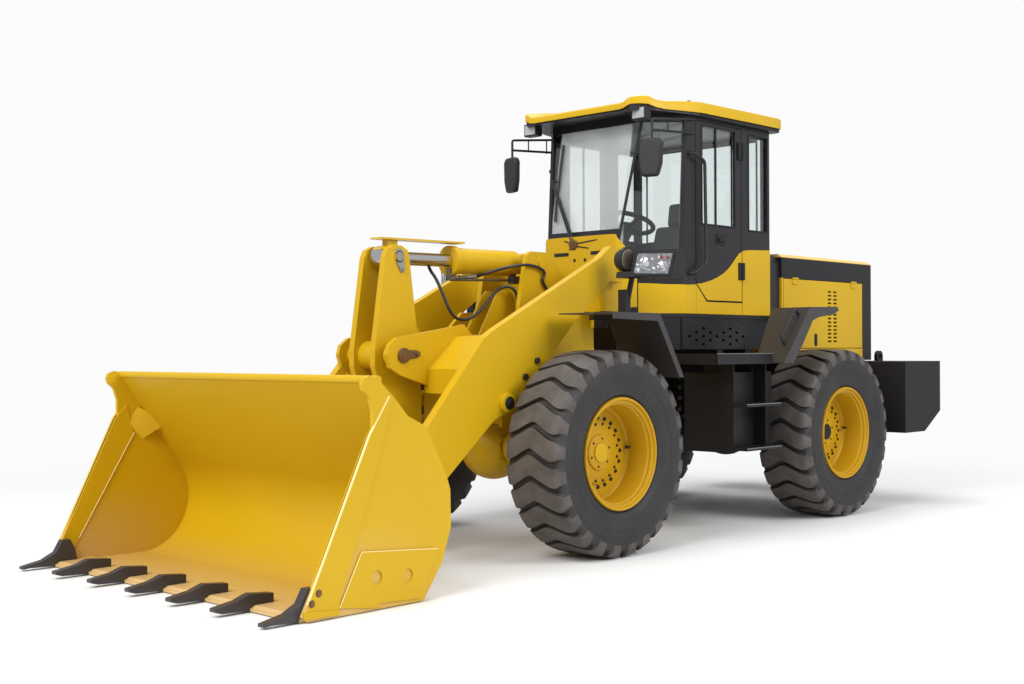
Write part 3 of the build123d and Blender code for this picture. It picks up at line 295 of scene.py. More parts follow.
def screw(bm, place, out, radius, height, material=0):
    """Adds a hexagon screw head on its washer, standing along the direction out."""
    turn = Vector((0, 0, 1)).rotation_difference(Vector(out)).to_matrix().to_4x4()
    for low, high, r, sides in ((0.0, height * 0.22, radius * 1.35, 14),
                                (height * 0.2, height, radius, 6)):
        made = bmesh.ops.create_cone(bm, cap_ends=True, segments=sides, radius1=r, radius2=r * 0.97,
                                     depth=high - low, matrix=Matrix.Translation(place) @ turn
                                     @ Matrix.Translation((0, 0, (low + high) / 2)))
        finish_faces(made["verts"], material)


def soften(made, width, corner):
    """Breaks a piece's sharp edges with a small bevel, and keeps its flat faces flat."""
    edge_round = made.modifiers.new("edge", "BEVEL")
    edge_round.width = width
    edge_round.segments = 2
    edge_round.limit_method = "ANGLE"
    edge_round.angle_limit = radians(corner)
    edge_round.harden_normals = True


def keep_piece(name, bm, materials, body, bevel=0.0, round_below=32.0, stands_for=()):
    """Turns the built mesh into a piece that rides on a body, with soft edges where bevel says so."""
    bmesh.ops.recalc_face_normals(bm, faces=bm.faces)
    for edge in bm.edges:
        edge.smooth = edge.calc_face_angle(3.0) < radians(round_below)
    for face in bm.faces:
        face.smooth = True
    shape = bpy.data.meshes.new(name)
    bm.to_mesh(shape)
    bm.free()
    for material in materials:
        shape.materials.append(material)
    made = put(name, shape)
    if bevel:
        soften(made, bevel, 40)
    for node in stands_for:
        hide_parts(node)
    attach(made, body)
    return made


rim_profile = [(-0.030, 0.0602), (0.006, 0.0602), (0.006, 0.196), (0.002, 0.202), (-0.006, 0.202),
               (-0.006, 0.236), (-0.007, 0.288), (0.004, 0.3), (0.020, 0.3035), (0.146, 0.3035),
               (0.156, 0.308), (0.160, 0.318), (0.166, 0.3215), (0.172, 0.3195), (0.1745, 0.3235),
               (0.176, 0.331), (0.186, 0.336), (0.1955, 0.3375), (0.1985, 0.343), (0.1965, 0.3505),
               (0.190, 0.3545), (0.181, 0.3545), (0.177, 0.350), (0.1748, 0.341), (0.1748, 0.3176),
               (-0.1748, 0.3176), (-0.1748, 0.341), (-0.178, 0.354), (-0.190, 0.3545), (-0.196, 0.349),
               (-0.192, 0.338), (-0.174, 0.320), (-0.154, 0.3035), (-0.056, 0.3035), (-0.030, 0.292)]
hub_profile = [(0.004, 0.001), (0.018, 0.001), (0.018, 0.108), (0.013, 0.114), (0.004, 0.114)]
# Each ring of screws: how many, the ring's radius, the head's radius, its first turn and its face.
screw_rings = ((20, 0.219, 0.0105, 0.0, -0.006), (16, 0.182, 0.0075, 0.5, 0.006),
               (6, 0.09, 0.006, 0.3, 0.018))
for axle_name, axle_y in wheel_places.items():
    for side_name, side in (("left", 1), ("right", -1)):
        wheel = bmesh.new()
        turned(wheel, rim_profile, 96)
        turned(wheel, hub_profile, 48)
        for count, ring, radius, offset, face_x in screw_rings:
            for i in range(count):
                angle = tau * (i + offset) / count
                spot = (face_x, ring * cos(angle), ring * sin(angle))
                screw(wheel, spot, (1, 0, 0), radius, radius * 1.1, material=1)
        screw(wheel, (0.012, 0.268, 0.02), (1, 0, 0), 0.009, 0.03, material=1)
        facing = Matrix.Scale(side, 4, (1, 0, 0))
        wheel.transform(Matrix.Translation((side * wheel_x, axle_y, hub_z)) @ facing)
        keep_piece(f"wheel_rim_{axle_name}_{side_name}", wheel, (rim_yellow, bolt_steel),
                   f"wheel_{axle_name}_{side_name}", bevel=0.0008, round_below=35,
                   stands_for=(f"rim_{axle_name}_{side_name}",))

# ---- Axles and frames -----------------------------------------------------------------------
# Cast axle housings and flame-cut welded plate frames. The rear frame, axle and counterweight
# are in satin charcoal enamel. The front frame is yellow, but for its dark wings at the fenders.
charcoal_colour = (0.0105, 0.0095, 0.0115)
charcoal = surface("charcoal enamel", charcoal_colour, 0.42, specular=0.35)
charcoal_rough = surface("charcoal enamel, rough cast", (0.0125, 0.0105, 0.0125), 0.52, specular=0.3)


def finish_node(node, material, bevel):
    """Gives a piece its enamel and breaks its sharp edges."""
    part = nodes[node]
    part.data.materials.clear()
    part.data.materials.append(material)
    if bevel:
        soften(part, bevel, 35)


def second_coat(material, colour, zones, metal=None):
    """Paints another colour inside zones, each a list of (axis, low, high) limits in metres."""
    tree = material.node_tree
    parts = add_node(tree, "SeparateXYZ", {0: own_place(tree)})
    total = None
    for zone in zones:
        whole = None
        for axis, low, high in zone:
            within = add_node(tree, "Math", {0: parts.outputs[axis], 1: (low + high) / 2,
                                             2: (high - low) / 2}, "COMPARE").outputs[0]
            if whole:
                within = add_node(tree, "Math", {0: whole, 1: within}, "MULTIPLY").outputs[0]
            whole = within
        if total:
            whole = add_node(tree, "Math", {0: total, 1: whole}, "MAXIMUM").outputs[0]
        total = whole
    base = shader_input(tree, "Base Color")
    under = base.links[0].from_socket if base.links else base.default_value
    coats = add_node(tree, "MixRGB", {"Fac": total, "Color1": under, "Color2": (*colour, 1)})
    tree.links.new(coats.outputs["Color"], base)
    if metal is not None:
        bare = add_node(tree, "Math", {0: metal, 1: total}, "SUBTRACT")
        tree.links.new(bare.outputs[0], shader_input(tree, "Metallic"))


frame_paint = yellow_paint("front frame enamel")
second_coat(frame_paint, charcoal_colour, [[("X", side * 0.60 - 0.20, side * 0.60 + 0.20),
                                            ("Y", -0.60, 0.20), ("Z", 1.30, 1.56)] for side in (1, -1)])
for node, material, bevel in (
        ("front_frame", frame_paint, 0.003), ("front_axle", yellow, 0.004),
        ("rear_axle", charcoal_rough, 0.004), ("rear_frame", charcoal, 0.003),
        ("counterweight", charcoal_rough, 0.010), ("engine_block", charcoal, 0.004)):
    finish_node(node, material, bevel)

# ---- Bucket ---------------------------------------------------------------------------------
# Welded bucket with a bolted wear plate and cutter strip on each side plate, corner gussets and
# seven forged teeth over the cutting edge. Loads have worn the paint pale on the floor towards
# the lip. The thin pale lines along the edges of the side and wear plates are painted highlights.
front_y = wheel_places["front"]
bucket_half = 1.242
worn_edge = surface("primed cutting edge", (0.46, 0.24, 0.17), 0.42)
# The pale line along plate edges is a painted highlight, where the edges catch the light.
painted_edge_highlight = surface("painted edge highlight", (0.78, 0.60, 0.22), 0.35)
pin_primer = surface("brown pin primer", (0.150, 0.083, 0.030), 0.38, metallic=0.4)
tooth_steel = surface("forged tooth steel", (0.050, 0.046, 0.050), 0.40, metallic=0.35)


def fade(tree, source, start, end, first, last):
    """A share that runs from first to last while source goes from start to end."""
    return add_node(tree, "MapRange", {"Value": source, "From Min": start, "From Max": end,
                                       "To Min": first, "To Max": last}).outputs["Result"]


bucket_paint = yellow_paint("bucket enamel")
wear_tree = bucket_paint.node_tree
wear_parts = add_node(wear_tree, "SeparateXYZ", {0: own_place(wear_tree)})
wear_ahead = fade(wear_tree, wear_parts.outputs["Y"], -3.38, -2.50, 0.85, 0.0)
wear_low = fade(wear_tree, wear_parts.outputs["Z"], 0.03, 0.45, 1.0, 0.0)
wear_share = add_node(wear_tree, "Math", {0: wear_ahead, 1: wear_low}, "MULTIPLY")
fresh_paint = shader_input(wear_tree, "Base Color").links[0].from_socket
wear_mix = add_node(wear_tree, "MixRGB", {"Fac": wear_share.outputs[0], "Color1": fresh_paint,
                                          "Color2": (0.64, 0.43, 0.21, 1)})
wear_tree.links.new(wear_mix.outputs["Color"], shader_input(wear_tree, "Base Color"))
finish_node("bucket_shell", bucket_paint, 0.003)
finish_node("bucket_teeth", tooth_steel, 0.004)


def from_axle(points):
    """Moves (y, z) points, given from the front axle, to their place along the machine."""
    return [(front_y + y, z) for y, z in points]


def rod(bm, start, end, radius, sides=20, material=0, end_radius=None):
    """Adds a round bar from one point to another."""
    start, end = Vector(start), Vector(end)
    turn = Vector((0, 0, 1)).rotation_difference(end - start).to_matrix().to_4x4()
    if end_radius is None:
        end_radius = radius
    made = bmesh.ops.create_cone(bm, cap_ends=True, segments=sides, radius1=radius, radius2=end_radius,
                                 depth=(end - start).length,
                                 matrix=Matrix.Translation((start + end) / 2) @ turn)
    finish_faces(made["verts"], material)


def slab(bm, near_outline, far_outline, material=0):
    """Adds a flat-sided plate between two like outlines."""
    near, far = [[bm.verts.new(spot) for spot in outline] for outline in (near_outline, far_outline)]
    made = [bm.faces.new(near), bm.faces.new(far)]
    for i in range(len(near)):
        k = (i + 1) % len(near)
        made.append(bm.faces.new((near[i], near[k], far[k], far[i])))
    for face in made:
        face.material_index = material


def plate(bm, outline, x0, x1, material=0):
    """Adds a plate across x, cut to an outline of (y, z) points."""
    slab(bm, [(x0, y, z) for y, z in outline], [(x1, y, z) for y, z in outline], material)


def pierced_plate(bm, outline, holes, low, high, material=0):
    """Adds a plate across x cut to (y, z) points, with round holes given as (y, z, radius)."""
    turns = [tau * i / 28 for i in range(28)]
    loops = [list(outline)]
    loops += [[(y + r * cos(turn), z + r * sin(turn)) for turn in turns] for y, z, r in holes]
    faces = []
    for x in (low, high):
        faces.append([[bm.verts.new((x, y, z)) for y, z in loop] for loop in loops])
        rims = [bm.edges.new((ring[i - 1], ring[i])) for ring in faces[-1] for i in range(len(ring))]
        for part in bmesh.ops.triangle_fill(bm, use_beauty=True, edges=rims)["geom"]:
            if isinstance(part, bmesh.types.BMFace):
                part.material_index = material
    for near, far in zip(*faces):
        for i in range(len(near)):
            side = bm.faces.new((near[i - 1], near[i], far[i], far[i - 1]))
            side.material_index = material


wear_plate = ((-2.211, 0.304), (-1.695, 0.265), (-1.806, 0.044), (-1.832, 0.024), (-2.096, 0.036),
              (-2.100, 0.014), (-2.351, 0.048))
side_strip = ((-1.995, 1.058), (-2.012, 1.075), (-2.147, 0.878), (-2.555, 0.044), (-2.550, 0.036),
              (-2.352, 0.030), (-2.342, 0.100), (-2.293, 0.212), (-2.215, 0.420))
bucket = bmesh.new()
for sx in (1, -1):
    outer, inner = sx * bucket_half, sx * (bucket_half - 0.024)
    wear_holes = [(y, z, 0.036) for y, z in from_axle(((-2.115, 0.167), (-1.908, 0.151)))]
    pierced_plate(bucket, from_axle(wear_plate), wear_holes, outer, outer + sx * 0.009)
    # Painted highlight: pale rods along the wear plate's front and top edges.
    for (ya, za), (yb, zb) in ((wear_plate[6], wear_plate[0]), (wear_plate[0], wear_plate[1])):
        edge_x = outer + sx * 0.0085
        rod(bucket, (edge_x, front_y + ya, za), (edge_x, front_y + yb, zb), 0.0032, 8, material=3)
    plate(bucket, from_axle(side_strip), outer, outer + sx * 0.005)
    plate(bucket, from_axle(((-2.572, 0.060), (-2.351, 0.038), (-2.351, 0.018), (-2.560, 0.018))),
          outer, outer + sx * 0.011)
    plate(bucket, from_axle(((-2.067, 0.960), (-2.014, 0.784), (-2.391, 0.157), (-2.428, 0.090),
                             (-2.533, 0.092), (-2.148, 0.876))), inner, inner - sx * 0.008)
    # Painted highlights: pale rods along the side plate's and the gusset's edges.
    highlight_edges = ((outer - sx * 0.003, 0.0075, (-2.020, 1.066), (-2.148, 0.878)),
                    (outer - sx * 0.003, 0.0075, (-2.148, 0.880), (-2.537, 0.086)),
                    (inner - sx * 0.008, 0.003, (-2.014, 0.784), (-2.391, 0.157)))
    for x, radius, (ya, za), (yb, zb) in highlight_edges:
        rod(bucket, (x, front_y + ya, za), (x, front_y + yb, zb), radius, 8, material=3)
    corner = [bucket.verts.new((x, front_y + y, z)) for x, y, z in (
        (inner, -2.065, 0.843), (inner, -1.951, 0.739), (inner - sx * 0.084, -1.862, 0.818),
        (inner - sx * 0.036, -1.936, 0.916), (inner, -1.985, 0.945), (inner, -1.850, 0.800))]
    for turn in ((0, 1, 2, 3), (0, 3, 4), (1, 5, 2), (0, 4, 5, 1), (4, 3, 2, 5)):
        bucket.faces.new([corner[k] for k in turn])
    for y, z in ((-2.475, 0.136), (-2.517, 0.091)):
        screw(bucket, (outer + sx * 0.005, front_y + y, z), (sx, 0, 0), 0.0145, 0.006, material=1)
plate(bucket, from_axle(((-2.567, 0.0065), (-2.567, 0.0175), (-2.563, 0.0200), (-2.520, 0.0120))),
      -1.2175, 1.2175, material=2)
keep_piece("bucket_trim", bucket, (yellow, pin_primer, worn_edge, painted_edge_highlight),
           "bucket", bevel=0.0015)

# ---- Loader boom ----------------------------------------------------------------------------
# Two flame-cut arms of thick plate joined by a box beam, with the lift cylinders' pins in bosses
# on their outer faces. The bell crank stands between the beam's two cheeks on a brown-primed pin,
# and bolted keeper plates hold both of its pins.
arm_outer = 0.618
crank_pin = (front_y - 1.036, 1.266)
lift_pin = (front_y - 0.520, 0.970)
tilt_pin = (front_y - 0.965, 1.880)
plated = surface("zinc plated steel", (0.34, 0.33, 0.31), 0.35, metallic=0.85)
for node in ("boom_arm_left", "boom_arm_right", "boom_cross_beam", "bell_crank", "tilt_link"):
    finish_node(node, yellow, 0.0035)
boom = bmesh.new()
for sx in (1, -1):
    for reach, radius, sides in ((0.262, 0.046, 28), (0.266, 0.030, 24)):
        rod(boom, (sx * 0.240, *crank_pin), (sx * reach, *crank_pin), radius, sides, material=1)
    plate(boom, from_axle(((-1.060, 1.300), (-0.930, 1.298), (-0.902, 1.285), (-0.902, 1.262),
                           (-0.930, 1.250), (-1.060, 1.232))), sx * 0.2445, sx * 0.254, material=1)
    screw(boom, (sx * 0.254, front_y - 0.929, 1.274), (sx, 0, 0), 0.016, 0.014, material=1)
    outer = sx * arm_outer
    for start, end, radius, sides, finish in ((-0.004, 0.030, 0.060, 32, 0), (0.0, 0.036, 0.040, 28, 2),
                                              (0.0, 0.044, 0.020, 18, 2)):
        rod(boom, (outer + sx * start, *lift_pin), (outer + sx * end, *lift_pin),
            radius, sides, material=finish)
    for y, z in from_axle(((-0.35, 1.13), (-0.24, 1.23))):
        rod(boom, (outer - sx * 0.002, y, z), (outer + sx * 0.018, y, z), 0.020, 16, material=2)
keep_piece("boom_pins", boom, (yellow, pin_primer, bolt_steel), "boom", bevel=0.0015)
crank = bmesh.new()
for sx in (1, -1):
    face_x = sx * 0.123
    plate(crank, from_axle(((-0.998, 1.900), (-0.985, 1.925), (-0.960, 1.932), (-0.938, 1.920),
                            (-0.928, 1.895), (-0.922, 1.800), (-0.936, 1.780), (-0.952, 1.784),
                            (-0.995, 1.862))), face_x - sx * 0.001, face_x + sx * 0.010, material=1)
    rod(crank, (face_x, *tilt_pin), (face_x + sx * 0.016, *tilt_pin), 0.030, 28, material=1)
    screw(crank, (face_x + sx * 0.010, front_y - 0.937, 1.803), (sx, 0, 0), 0.012, 0.010, material=1)
keep_piece("crank_lock_plates", crank, (yellow, plated), "bell_crank", bevel=0.0012)

# ---- Hydraulic cylinders --------------------------------------------------------------------
# Honed tubes in yellow or charcoal with screwed gland rings, hard-chromed rods and eyes. A yellow
# guard strip, bolted to the tilt rod's eye, keeps stones off the rod and slides out over its tube.
chrome_colour = (0.60, 0.585, 0.575)
chrome = surface("hard chrome", chrome_colour, 0.16, metallic=1.0)
for side_name in ("left", "right"):
    finish_node(f"lift_barrel_{side_name}", yellow, 0.002)
    finish_node(f"lift_rod_{side_name}", chrome, 0.0)
    finish_node(f"steer_barrel_{side_name}", charcoal, 0.002)
    finish_node(f"steer_rod_{side_name}", chrome, 0.0)
finish_node("tilt_barrel", yellow, 0.002)
guarded_rod = surface("chromed rod with painted guard", chrome_colour, 0.18)
second_coat(guarded_rod, (0.62, 0.385, 0.010), [[("Z", 1.93, 2.2)]], metal=1.0)
finish_node("tilt_rod", guarded_rod, 0.0)

# ---- Cab body -------------------------------------------------------------------------------
# Pressed steel cab in black enamel on a charcoal base. Moulded yellow covers wrap its lower half:
# a cowl under the windshield, and side covers whose top edge sweeps up behind the door.
steer_y = 0.5605  # the steering joint: the cab's places along the machine are given from it
cab_x = 0.658
cover_foot = 1.556
proud = 0.006
black_enamel = surface("black cab enamel", (0.0140, 0.0125, 0.0150), 0.36, specular=0.4)
for node in ("cab_lower", "cab_frame", "roof_tray", "hood_collar"):
    finish_node(node, black_enamel, 0.004)
finish_node("cab_base", charcoal, 0.003)
for side_name in ("left", "right"):
    finish_node(f"cab_door_{side_name}", black_enamel, 0.003)
swoosh = [(-0.30, 1.772), (-0.20, 1.765), (-0.055, 1.763), (0.045, 1.769), (0.135, 1.784),
          (0.226, 1.803), (0.320, 1.832), (0.410, 1.870), (0.475, 1.912), (0.528, 1.956),
          (0.565, 1.990), (0.600, 2.019), (0.640, 2.038), (0.697, 2.050), (0.780, 2.056),
          (0.900, 2.061), (1.027, 2.066)]


def swoosh_at(y):
    """Height of the cover's top edge at a distance behind the steering joint."""
    for (ya, za), (yb, zb) in zip(swoosh, swoosh[1:]):
        if ya <= y <= yb:
            return za + (zb - za) * (y - ya) / (yb - ya)
    return swoosh[0][1] if y < swoosh[0][0] else swoosh[-1][1]


def block(bm, x0, x1, y0, y1, z0, z1, material=0):
    """Adds a square block between its corners."""
    middle = Matrix.Translation(((x0 + x1) / 2, (y0 + y1) / 2, (z0 + z1) / 2))
    size = Matrix.Diagonal((abs(x1 - x0), abs(y1 - y0), abs(z1 - z0), 1))
    made = bmesh.ops.create_cube(bm, size=1.0, matrix=middle @ size)
    finish_faces(made["verts"], material)


def wrap(bm, stations, thick):
    """Adds a moulded cover along (x, y, low z, high z) stations; its thickness goes inwards."""
    count = len(stations)
    layers = []
    for depth in (0.0, thick):
        low, high = [], []
        for i, (x, y, z0, z1) in enumerate(stations):
            a, b = stations[max(i - 1, 0)], stations[min(i + 1, count - 1)]
            tx, ty = b[0] - a[0], b[1] - a[1]
            size = hypot(tx, ty) or 1.0
            nx, ny = ty / size, -tx / size
            low.append(bm.verts.new((x - nx * depth, y - ny * depth, z0)))
            high.append(bm.verts.new((x - nx * depth, y - ny * depth, z1)))
        layers.append((low, high))
    (foot, top), (inner_foot, inner_top) = layers
    for i in range(count - 1):
        k = i + 1
        for corners in ((foot[i], foot[k], top[k], top[i]),
                        (inner_foot[k], inner_foot[i], inner_top[i], inner_top[k]),
                        (top[i], top[k], inner_top[k], inner_top[i]),
                        (foot[k], foot[i], inner_foot[i], inner_foot[k])):
            bm.faces.new(corners)
    for i in (0, count - 1):
        bm.faces.new((foot[i], top[i], inner_top[i], inner_foot[i]))


covers = bmesh.new()
for sx in (1, -1):
    cowl = [(0.0, -0.472, 2.126), (0.20, -0.472, 2.126), (0.322, -0.471, 2.124), (0.338, -0.466, 2.112),
            (0.352, -0.452, 2.085), (0.395, -0.398, 2.010), (0.434, -0.349, 1.945)]
    wrap(covers, [(sx * x, steer_y + y - proud, 1.60, z) for x, y, z in cowl], sx * 0.03)
    chamfer = [(0.437 + i * 0.0315, -0.347 + i * 0.0345) for i in range(8)]
    run = [(x + 0.004, y - 0.004) for x, y in chamfer]
    run += [(cab_x + proud, y) for y in (-0.10, -0.06, 0.0, 0.042)]
    wrap(covers, [(sx * x, steer_y + y, cover_foot, swoosh_at(y)) for x, y in run], sx * 0.02)
    side_x = sx * (cab_x + proud)
    sill = [(0.045, 1.770), (0.174, 1.645), (0.64, 1.645)]
    wrap(covers, [(side_x, steer_y + y, cover_foot, z) for y, z in sill], sx * 0.02)
    rear = [0.645, 0.67, 0.697, 0.74, 0.78, 0.84, 0.90, 1.027]
    wrap(covers, [(side_x, steer_y + y, cover_foot, swoosh_at(y)) for y in rear], sx * 0.02)
keep_piece("cab_covers", covers, (yellow,), "rear", bevel=0.004, round_below=20)
cowl_details = bmesh.new()
for sx in (1, -1):
    block(cowl_details, sx * 0.106, sx * 0.247, steer_y - 0.481, steer_y - 0.470, 1.986, 2.012)
    for x in (0.05, 0.30):
        screw(cowl_details, (sx * x, steer_y - 0.477, 1.952), (0, -1, 0), 0.010, 0.007)
keep_piece("cowl_slots", cowl_details, (black_enamel,), "rear", bevel=0.001)
for side_name, sx in (("left", 1), ("right", -1)):
    door = bmesh.new()
    outline = [(0.636, 1.657), (0.184, 1.657), (0.055, 1.775)]
    outline += [(y, swoosh_at(y) - 0.001)
                for y in (0.09, 0.135, 0.226, 0.32, 0.41, 0.475, 0.528, 0.565, 0.60, 0.636)]
    plate(door, [(steer_y + y, z) for y, z in outline], sx * (cab_x - 0.001), sx * (cab_x + proud))
    keep_piece(f"door_cover_{side_name}", door, (yellow,), f"door_{side_name}",
               bevel=0.003, round_below=20)

# ---- Cab glazing ----------------------------------------------------------------------------
# Flat tempered panes bonded in black rubber, clear with the slight green of float glass. The
# windshield, a little veiled with dust, meets its corner panes at a thin black joint, and each
# door pane slides on a rail.
clear_glass = surface("float glass", (0.86, 0.905, 0.90), 0.0, specular=0.5)
glass_tree = clear_glass.node_tree
glass_parts = add_node(glass_tree, "SeparateXYZ", {0: own_place(glass_tree)})
across = add_node(glass_tree, "Math", {0: glass_parts.outputs["X"]}, "ABSOLUTE")
veil_middle = fade(glass_tree, across.outputs[0], 0.336, 0.346, 0.66, 1.0)
veil_ahead = fade(glass_tree, glass_parts.outputs["Y"], 0.34, 0.40, 0.66, 1.0)
glass_clear = add_node(glass_tree, "Math", {0: veil_middle, 1: veil_ahead}, "MAXIMUM")
glass_tree.links.new(glass_clear.outputs[0], shader_input(glass_tree, "Transmission Weight"))
seal_rubber = surface("window rubber", (0.012, 0.012, 0.014), 0.55, specular=0.3)
for node in ("cab_glass", "door_glass_left", "door_glass_right"):
    finish_node(node, clear_glass, 0.0)
seals = bmesh.new()


def seal_run(bm, points, radius):
    """Adds a rubber bead along straight runs between the points."""
    for start, end in zip(points, points[1:]):
        rod(bm, start, end, radius, 8)


def pane_edge(x, y0, y1, z0, z1):
    """Corners of an upright pane beside the middle plane, in order and closed."""
    return [(x, steer_y + y, z) for y, z in ((y0, z0), (y1, z0), (y1, z1), (y0, z1), (y0, z0))]


for sx in (1, -1):
    seal_run(seals, [(sx * 0.336, steer_y - 0.424, 2.166), (sx * 0.420, steer_y - 0.287, 2.930)], 0.007)
    seal_run(seals, pane_edge(sx * 0.658, 0.738, 1.002, 2.203, 2.934), 0.007)
rear_pane = ((-0.54, 2.19), (0.54, 2.19), (0.54, 2.93), (-0.54, 2.93), (-0.54, 2.19))
seal_run(seals, [(x, steer_y + 1.031, z) for x, z in rear_pane], 0.008)
keep_piece("window_seals", seals, (seal_rubber,), "rear")
for side_name, sx in (("left", 1), ("right", -1)):
    trim = bmesh.new()
    seal_run(trim, pane_edge(sx * cab_x, 0.1265, 0.5585, 2.214, 2.936), 0.007)
    block(trim, sx * 0.634, sx * 0.648, steer_y + 0.315, steer_y + 0.331, 2.214, 2.936)
    for z in (1.850, 2.760):
        block(trim, sx * 0.658, sx * 0.672, steer_y + 0.585, steer_y + 0.636, z - 0.030, z + 0.100)
        rod(trim, (sx * 0.674, steer_y + 0.642, z - 0.030), (sx * 0.674, steer_y + 0.642, z + 0.100),
            0.0125, 16)
    block(trim, sx * 0.656, sx * 0.663, steer_y + 0.305, steer_y + 0.415, 2.070, 2.150)
    block(trim, sx * 0.663, sx * 0.678, steer_y + 0.322, steer_y + 0.400, 2.096, 2.122)
    keep_piece(f"door_trim_{side_name}", trim, (seal_rubber,), f"door_{side_name}",
               bevel=0.0015)

# ---- Roof -----------------------------------------------------------------------------------
# A moulded yellow roof cap crowned over a black pressed tray, with an arched recess at each
# front corner for a square halogen work lamp, and four steel lifting eyes screwed in near its edges.
roof_plan = [(0.0, -0.525), (0.16, -0.525), (0.32, -0.525), (0.41, -0.525), (0.45, -0.525),
             (0.485, -0.523), (0.505, -0.514), (0.545, -0.466), (0.583, -0.414), (0.618, -0.366),
             (0.640, -0.292), (0.665, -0.195), (0.695, -0.075), (0.718, 0.01), (0.724, 0.06),
             (0.724, 0.40), (0.724, 0.75), (0.724, 1.085), (0.714, 1.112), (0.690, 1.128),
             (0.40, 1.130), (0.0, 1.130)]


def roof_levels(x, y):
    """Heights of the rim's lower and upper edge: low at the brow, arched over the lamps."""
    arch = max(0.0, 1 - (hypot((x - 0.545) / 0.125, (y + 0.455) / 0.16)) ** 2)
    arch = arch * arch * (3 - 2 * arch)
    along = min(max((y + 0.525) / 0.55, 0.0), 1.0)
    along = along * along * (3 - 2 * along)
    low = 2.998 + 0.008 * along + 0.010 * min(max(y, 0.0), 1.0) + 0.034 * arch
    high = 3.044 + 0.040 * along + 0.012 * min(max(y, 0.0), 1.0) + 0.044 * arch
    return low, high


cap = bmesh.new()
around = roof_plan + [(-x, y) for x, y in roof_plan[-2:0:-1]]
crown_y, crown_z = 0.30, 3.112
# Rings from the tray to the crown: how far each is drawn in, and how its height is found.
rings = []
for shrink, rise in ((0.030, None), (0.0, 0), (0.0, 1), (0.012, 2), (0.10, 3), (0.34, 4), (0.70, 5)):
    ring = []
    for x, y in around:
        low, high = roof_levels(abs(x), y)
        z = {None: max(low, 3.0315), 0: low, 1: high - 0.010, 2: high}.get(rise)
        if z is None:
            z = high + (crown_z - high) * {3: 0.30, 4: 0.72, 5: 1.0}[rise]
        ring.append(cap.verts.new((x - x * shrink, steer_y + y + (crown_y - y) * shrink, z)))
    rings.append(ring)
for here, there in zip(rings, rings[1:]):
    for i in range(len(around)):
        k = (i + 1) % len(around)
        cap.faces.new((here[i], here[k], there[k], there[i]))
cap.faces.new(rings[0])
cap.faces.new(rings[-1])
keep_piece("roof_skin", cap, (yellow,), "rear", round_below=48,
           stands_for=("roof_cap",))
eyes = bmesh.new()
for sx in (1, -1):
    for y in (0.05, 0.85):
        rod(eyes, (sx * 0.60, steer_y + y, 3.080), (sx * 0.60, steer_y + y, 3.113), 0.012, 14)
keep_piece("roof_eyes", eyes, (black_enamel,), "rear", bevel=0.002)
lamp_glass = surface("lamp lens", (0.40, 0.41, 0.42), 0.10, coat=0.5)
black_plastic = surface("black moulded plastic", (0.016, 0.016, 0.018), 0.48, specular=0.35)
lamps = bmesh.new()
for sx in (1, -1):
    x, y, z = sx * 0.520, steer_y - 0.436, 2.970
    block(lamps, x - 0.062, x + 0.062, y - 0.012, y + 0.060, z - 0.048, z + 0.048)
    block(lamps, x - 0.052, x + 0.052, y - 0.016, y, z - 0.038, z + 0.038, material=1)
keep_piece("roof_lamps", lamps, (black_plastic, lamp_glass), "rear", bevel=0.006)

# ---- Hood -----------------------------------------------------------------------------------
# Sheet steel engine hood: yellow top paled by a painted highlight, dark band along each side and
# dark rear posts. Yellow doors on black rubber seals close its sides, each with a latch and a dark
# sheet of painted shade behind its two columns of louvres.
rear_y = wheel_places["rear"]
hood_x = 0.650
hood_paint = yellow_paint("hood enamel")
dark_zones = [[("Z", 1.862, 2.024)], [("Z", 0.9, 1.199)],
              [("Y", rear_y + 1.118, 3.3), ("Z", 1.0, 2.024)]]
second_coat(hood_paint, (0.0125, 0.0115, 0.0135), dark_zones)
# Painted highlight: the top above the dark band is paled, for the sky reflected off the glossy enamel.
second_coat(hood_paint, (0.72, 0.51, 0.17), [[("Z", 2.030, 2.200)]])
finish_node("hood_shell", hood_paint, 0.004)
door_seals = bmesh.new()
for sx in (1, -1):
    for z in (1.301, 1.861):
        block(door_seals, sx * 0.624, sx * 0.6365, 2.000, 3.050, z - 0.011, z + 0.011)
keep_piece("hood_door_seals", door_seals, (seal_rubber,), "rear")
finish_node("rear_grille", black_enamel, 0.002)
# Near-black painted shade, for the shaded insides seen through the hood doors' louvres and the skirt
# panel's slots.
painted_shade_black = surface("painted shade of an opening", (0.002, 0.002, 0.002), 0.9, specular=0.0)
for side_name, sx in (("left", 1), ("right", -1)):
    finish_node(f"hood_door_{side_name}", yellow, 0.004)
    # A sheet of painted shade behind the louvres stands for the dark inside of the hood.
    shade_sheet = bmesh.new()
    block(shade_sheet, sx * 0.6325, sx * 0.6375, 2.46, 2.70, 1.335, 1.790)
    keep_piece(f"louvre_shade_{side_name}", shade_sheet, (painted_shade_black,), f"hood_door_{side_name}")
    latch = bmesh.new()
    latch_y = rear_y + 0.345
    for z0, z1, half, depth in ((1.318, 1.425, 0.024, 0.0015), (1.345, 1.398, 0.014, 0.004)):
        corner = [(latch_y + half * cos(tau * i / 20), (z1 - half if i in range(11) else z0 + half)
                   + half * sin(tau * i / 20)) for i in range(20)]
        plate(latch, corner, sx * (hood_x - 0.004), sx * (hood_x + depth))
    keep_piece(f"hood_latch_{side_name}", latch, (seal_rubber,), f"hood_door_{side_name}")

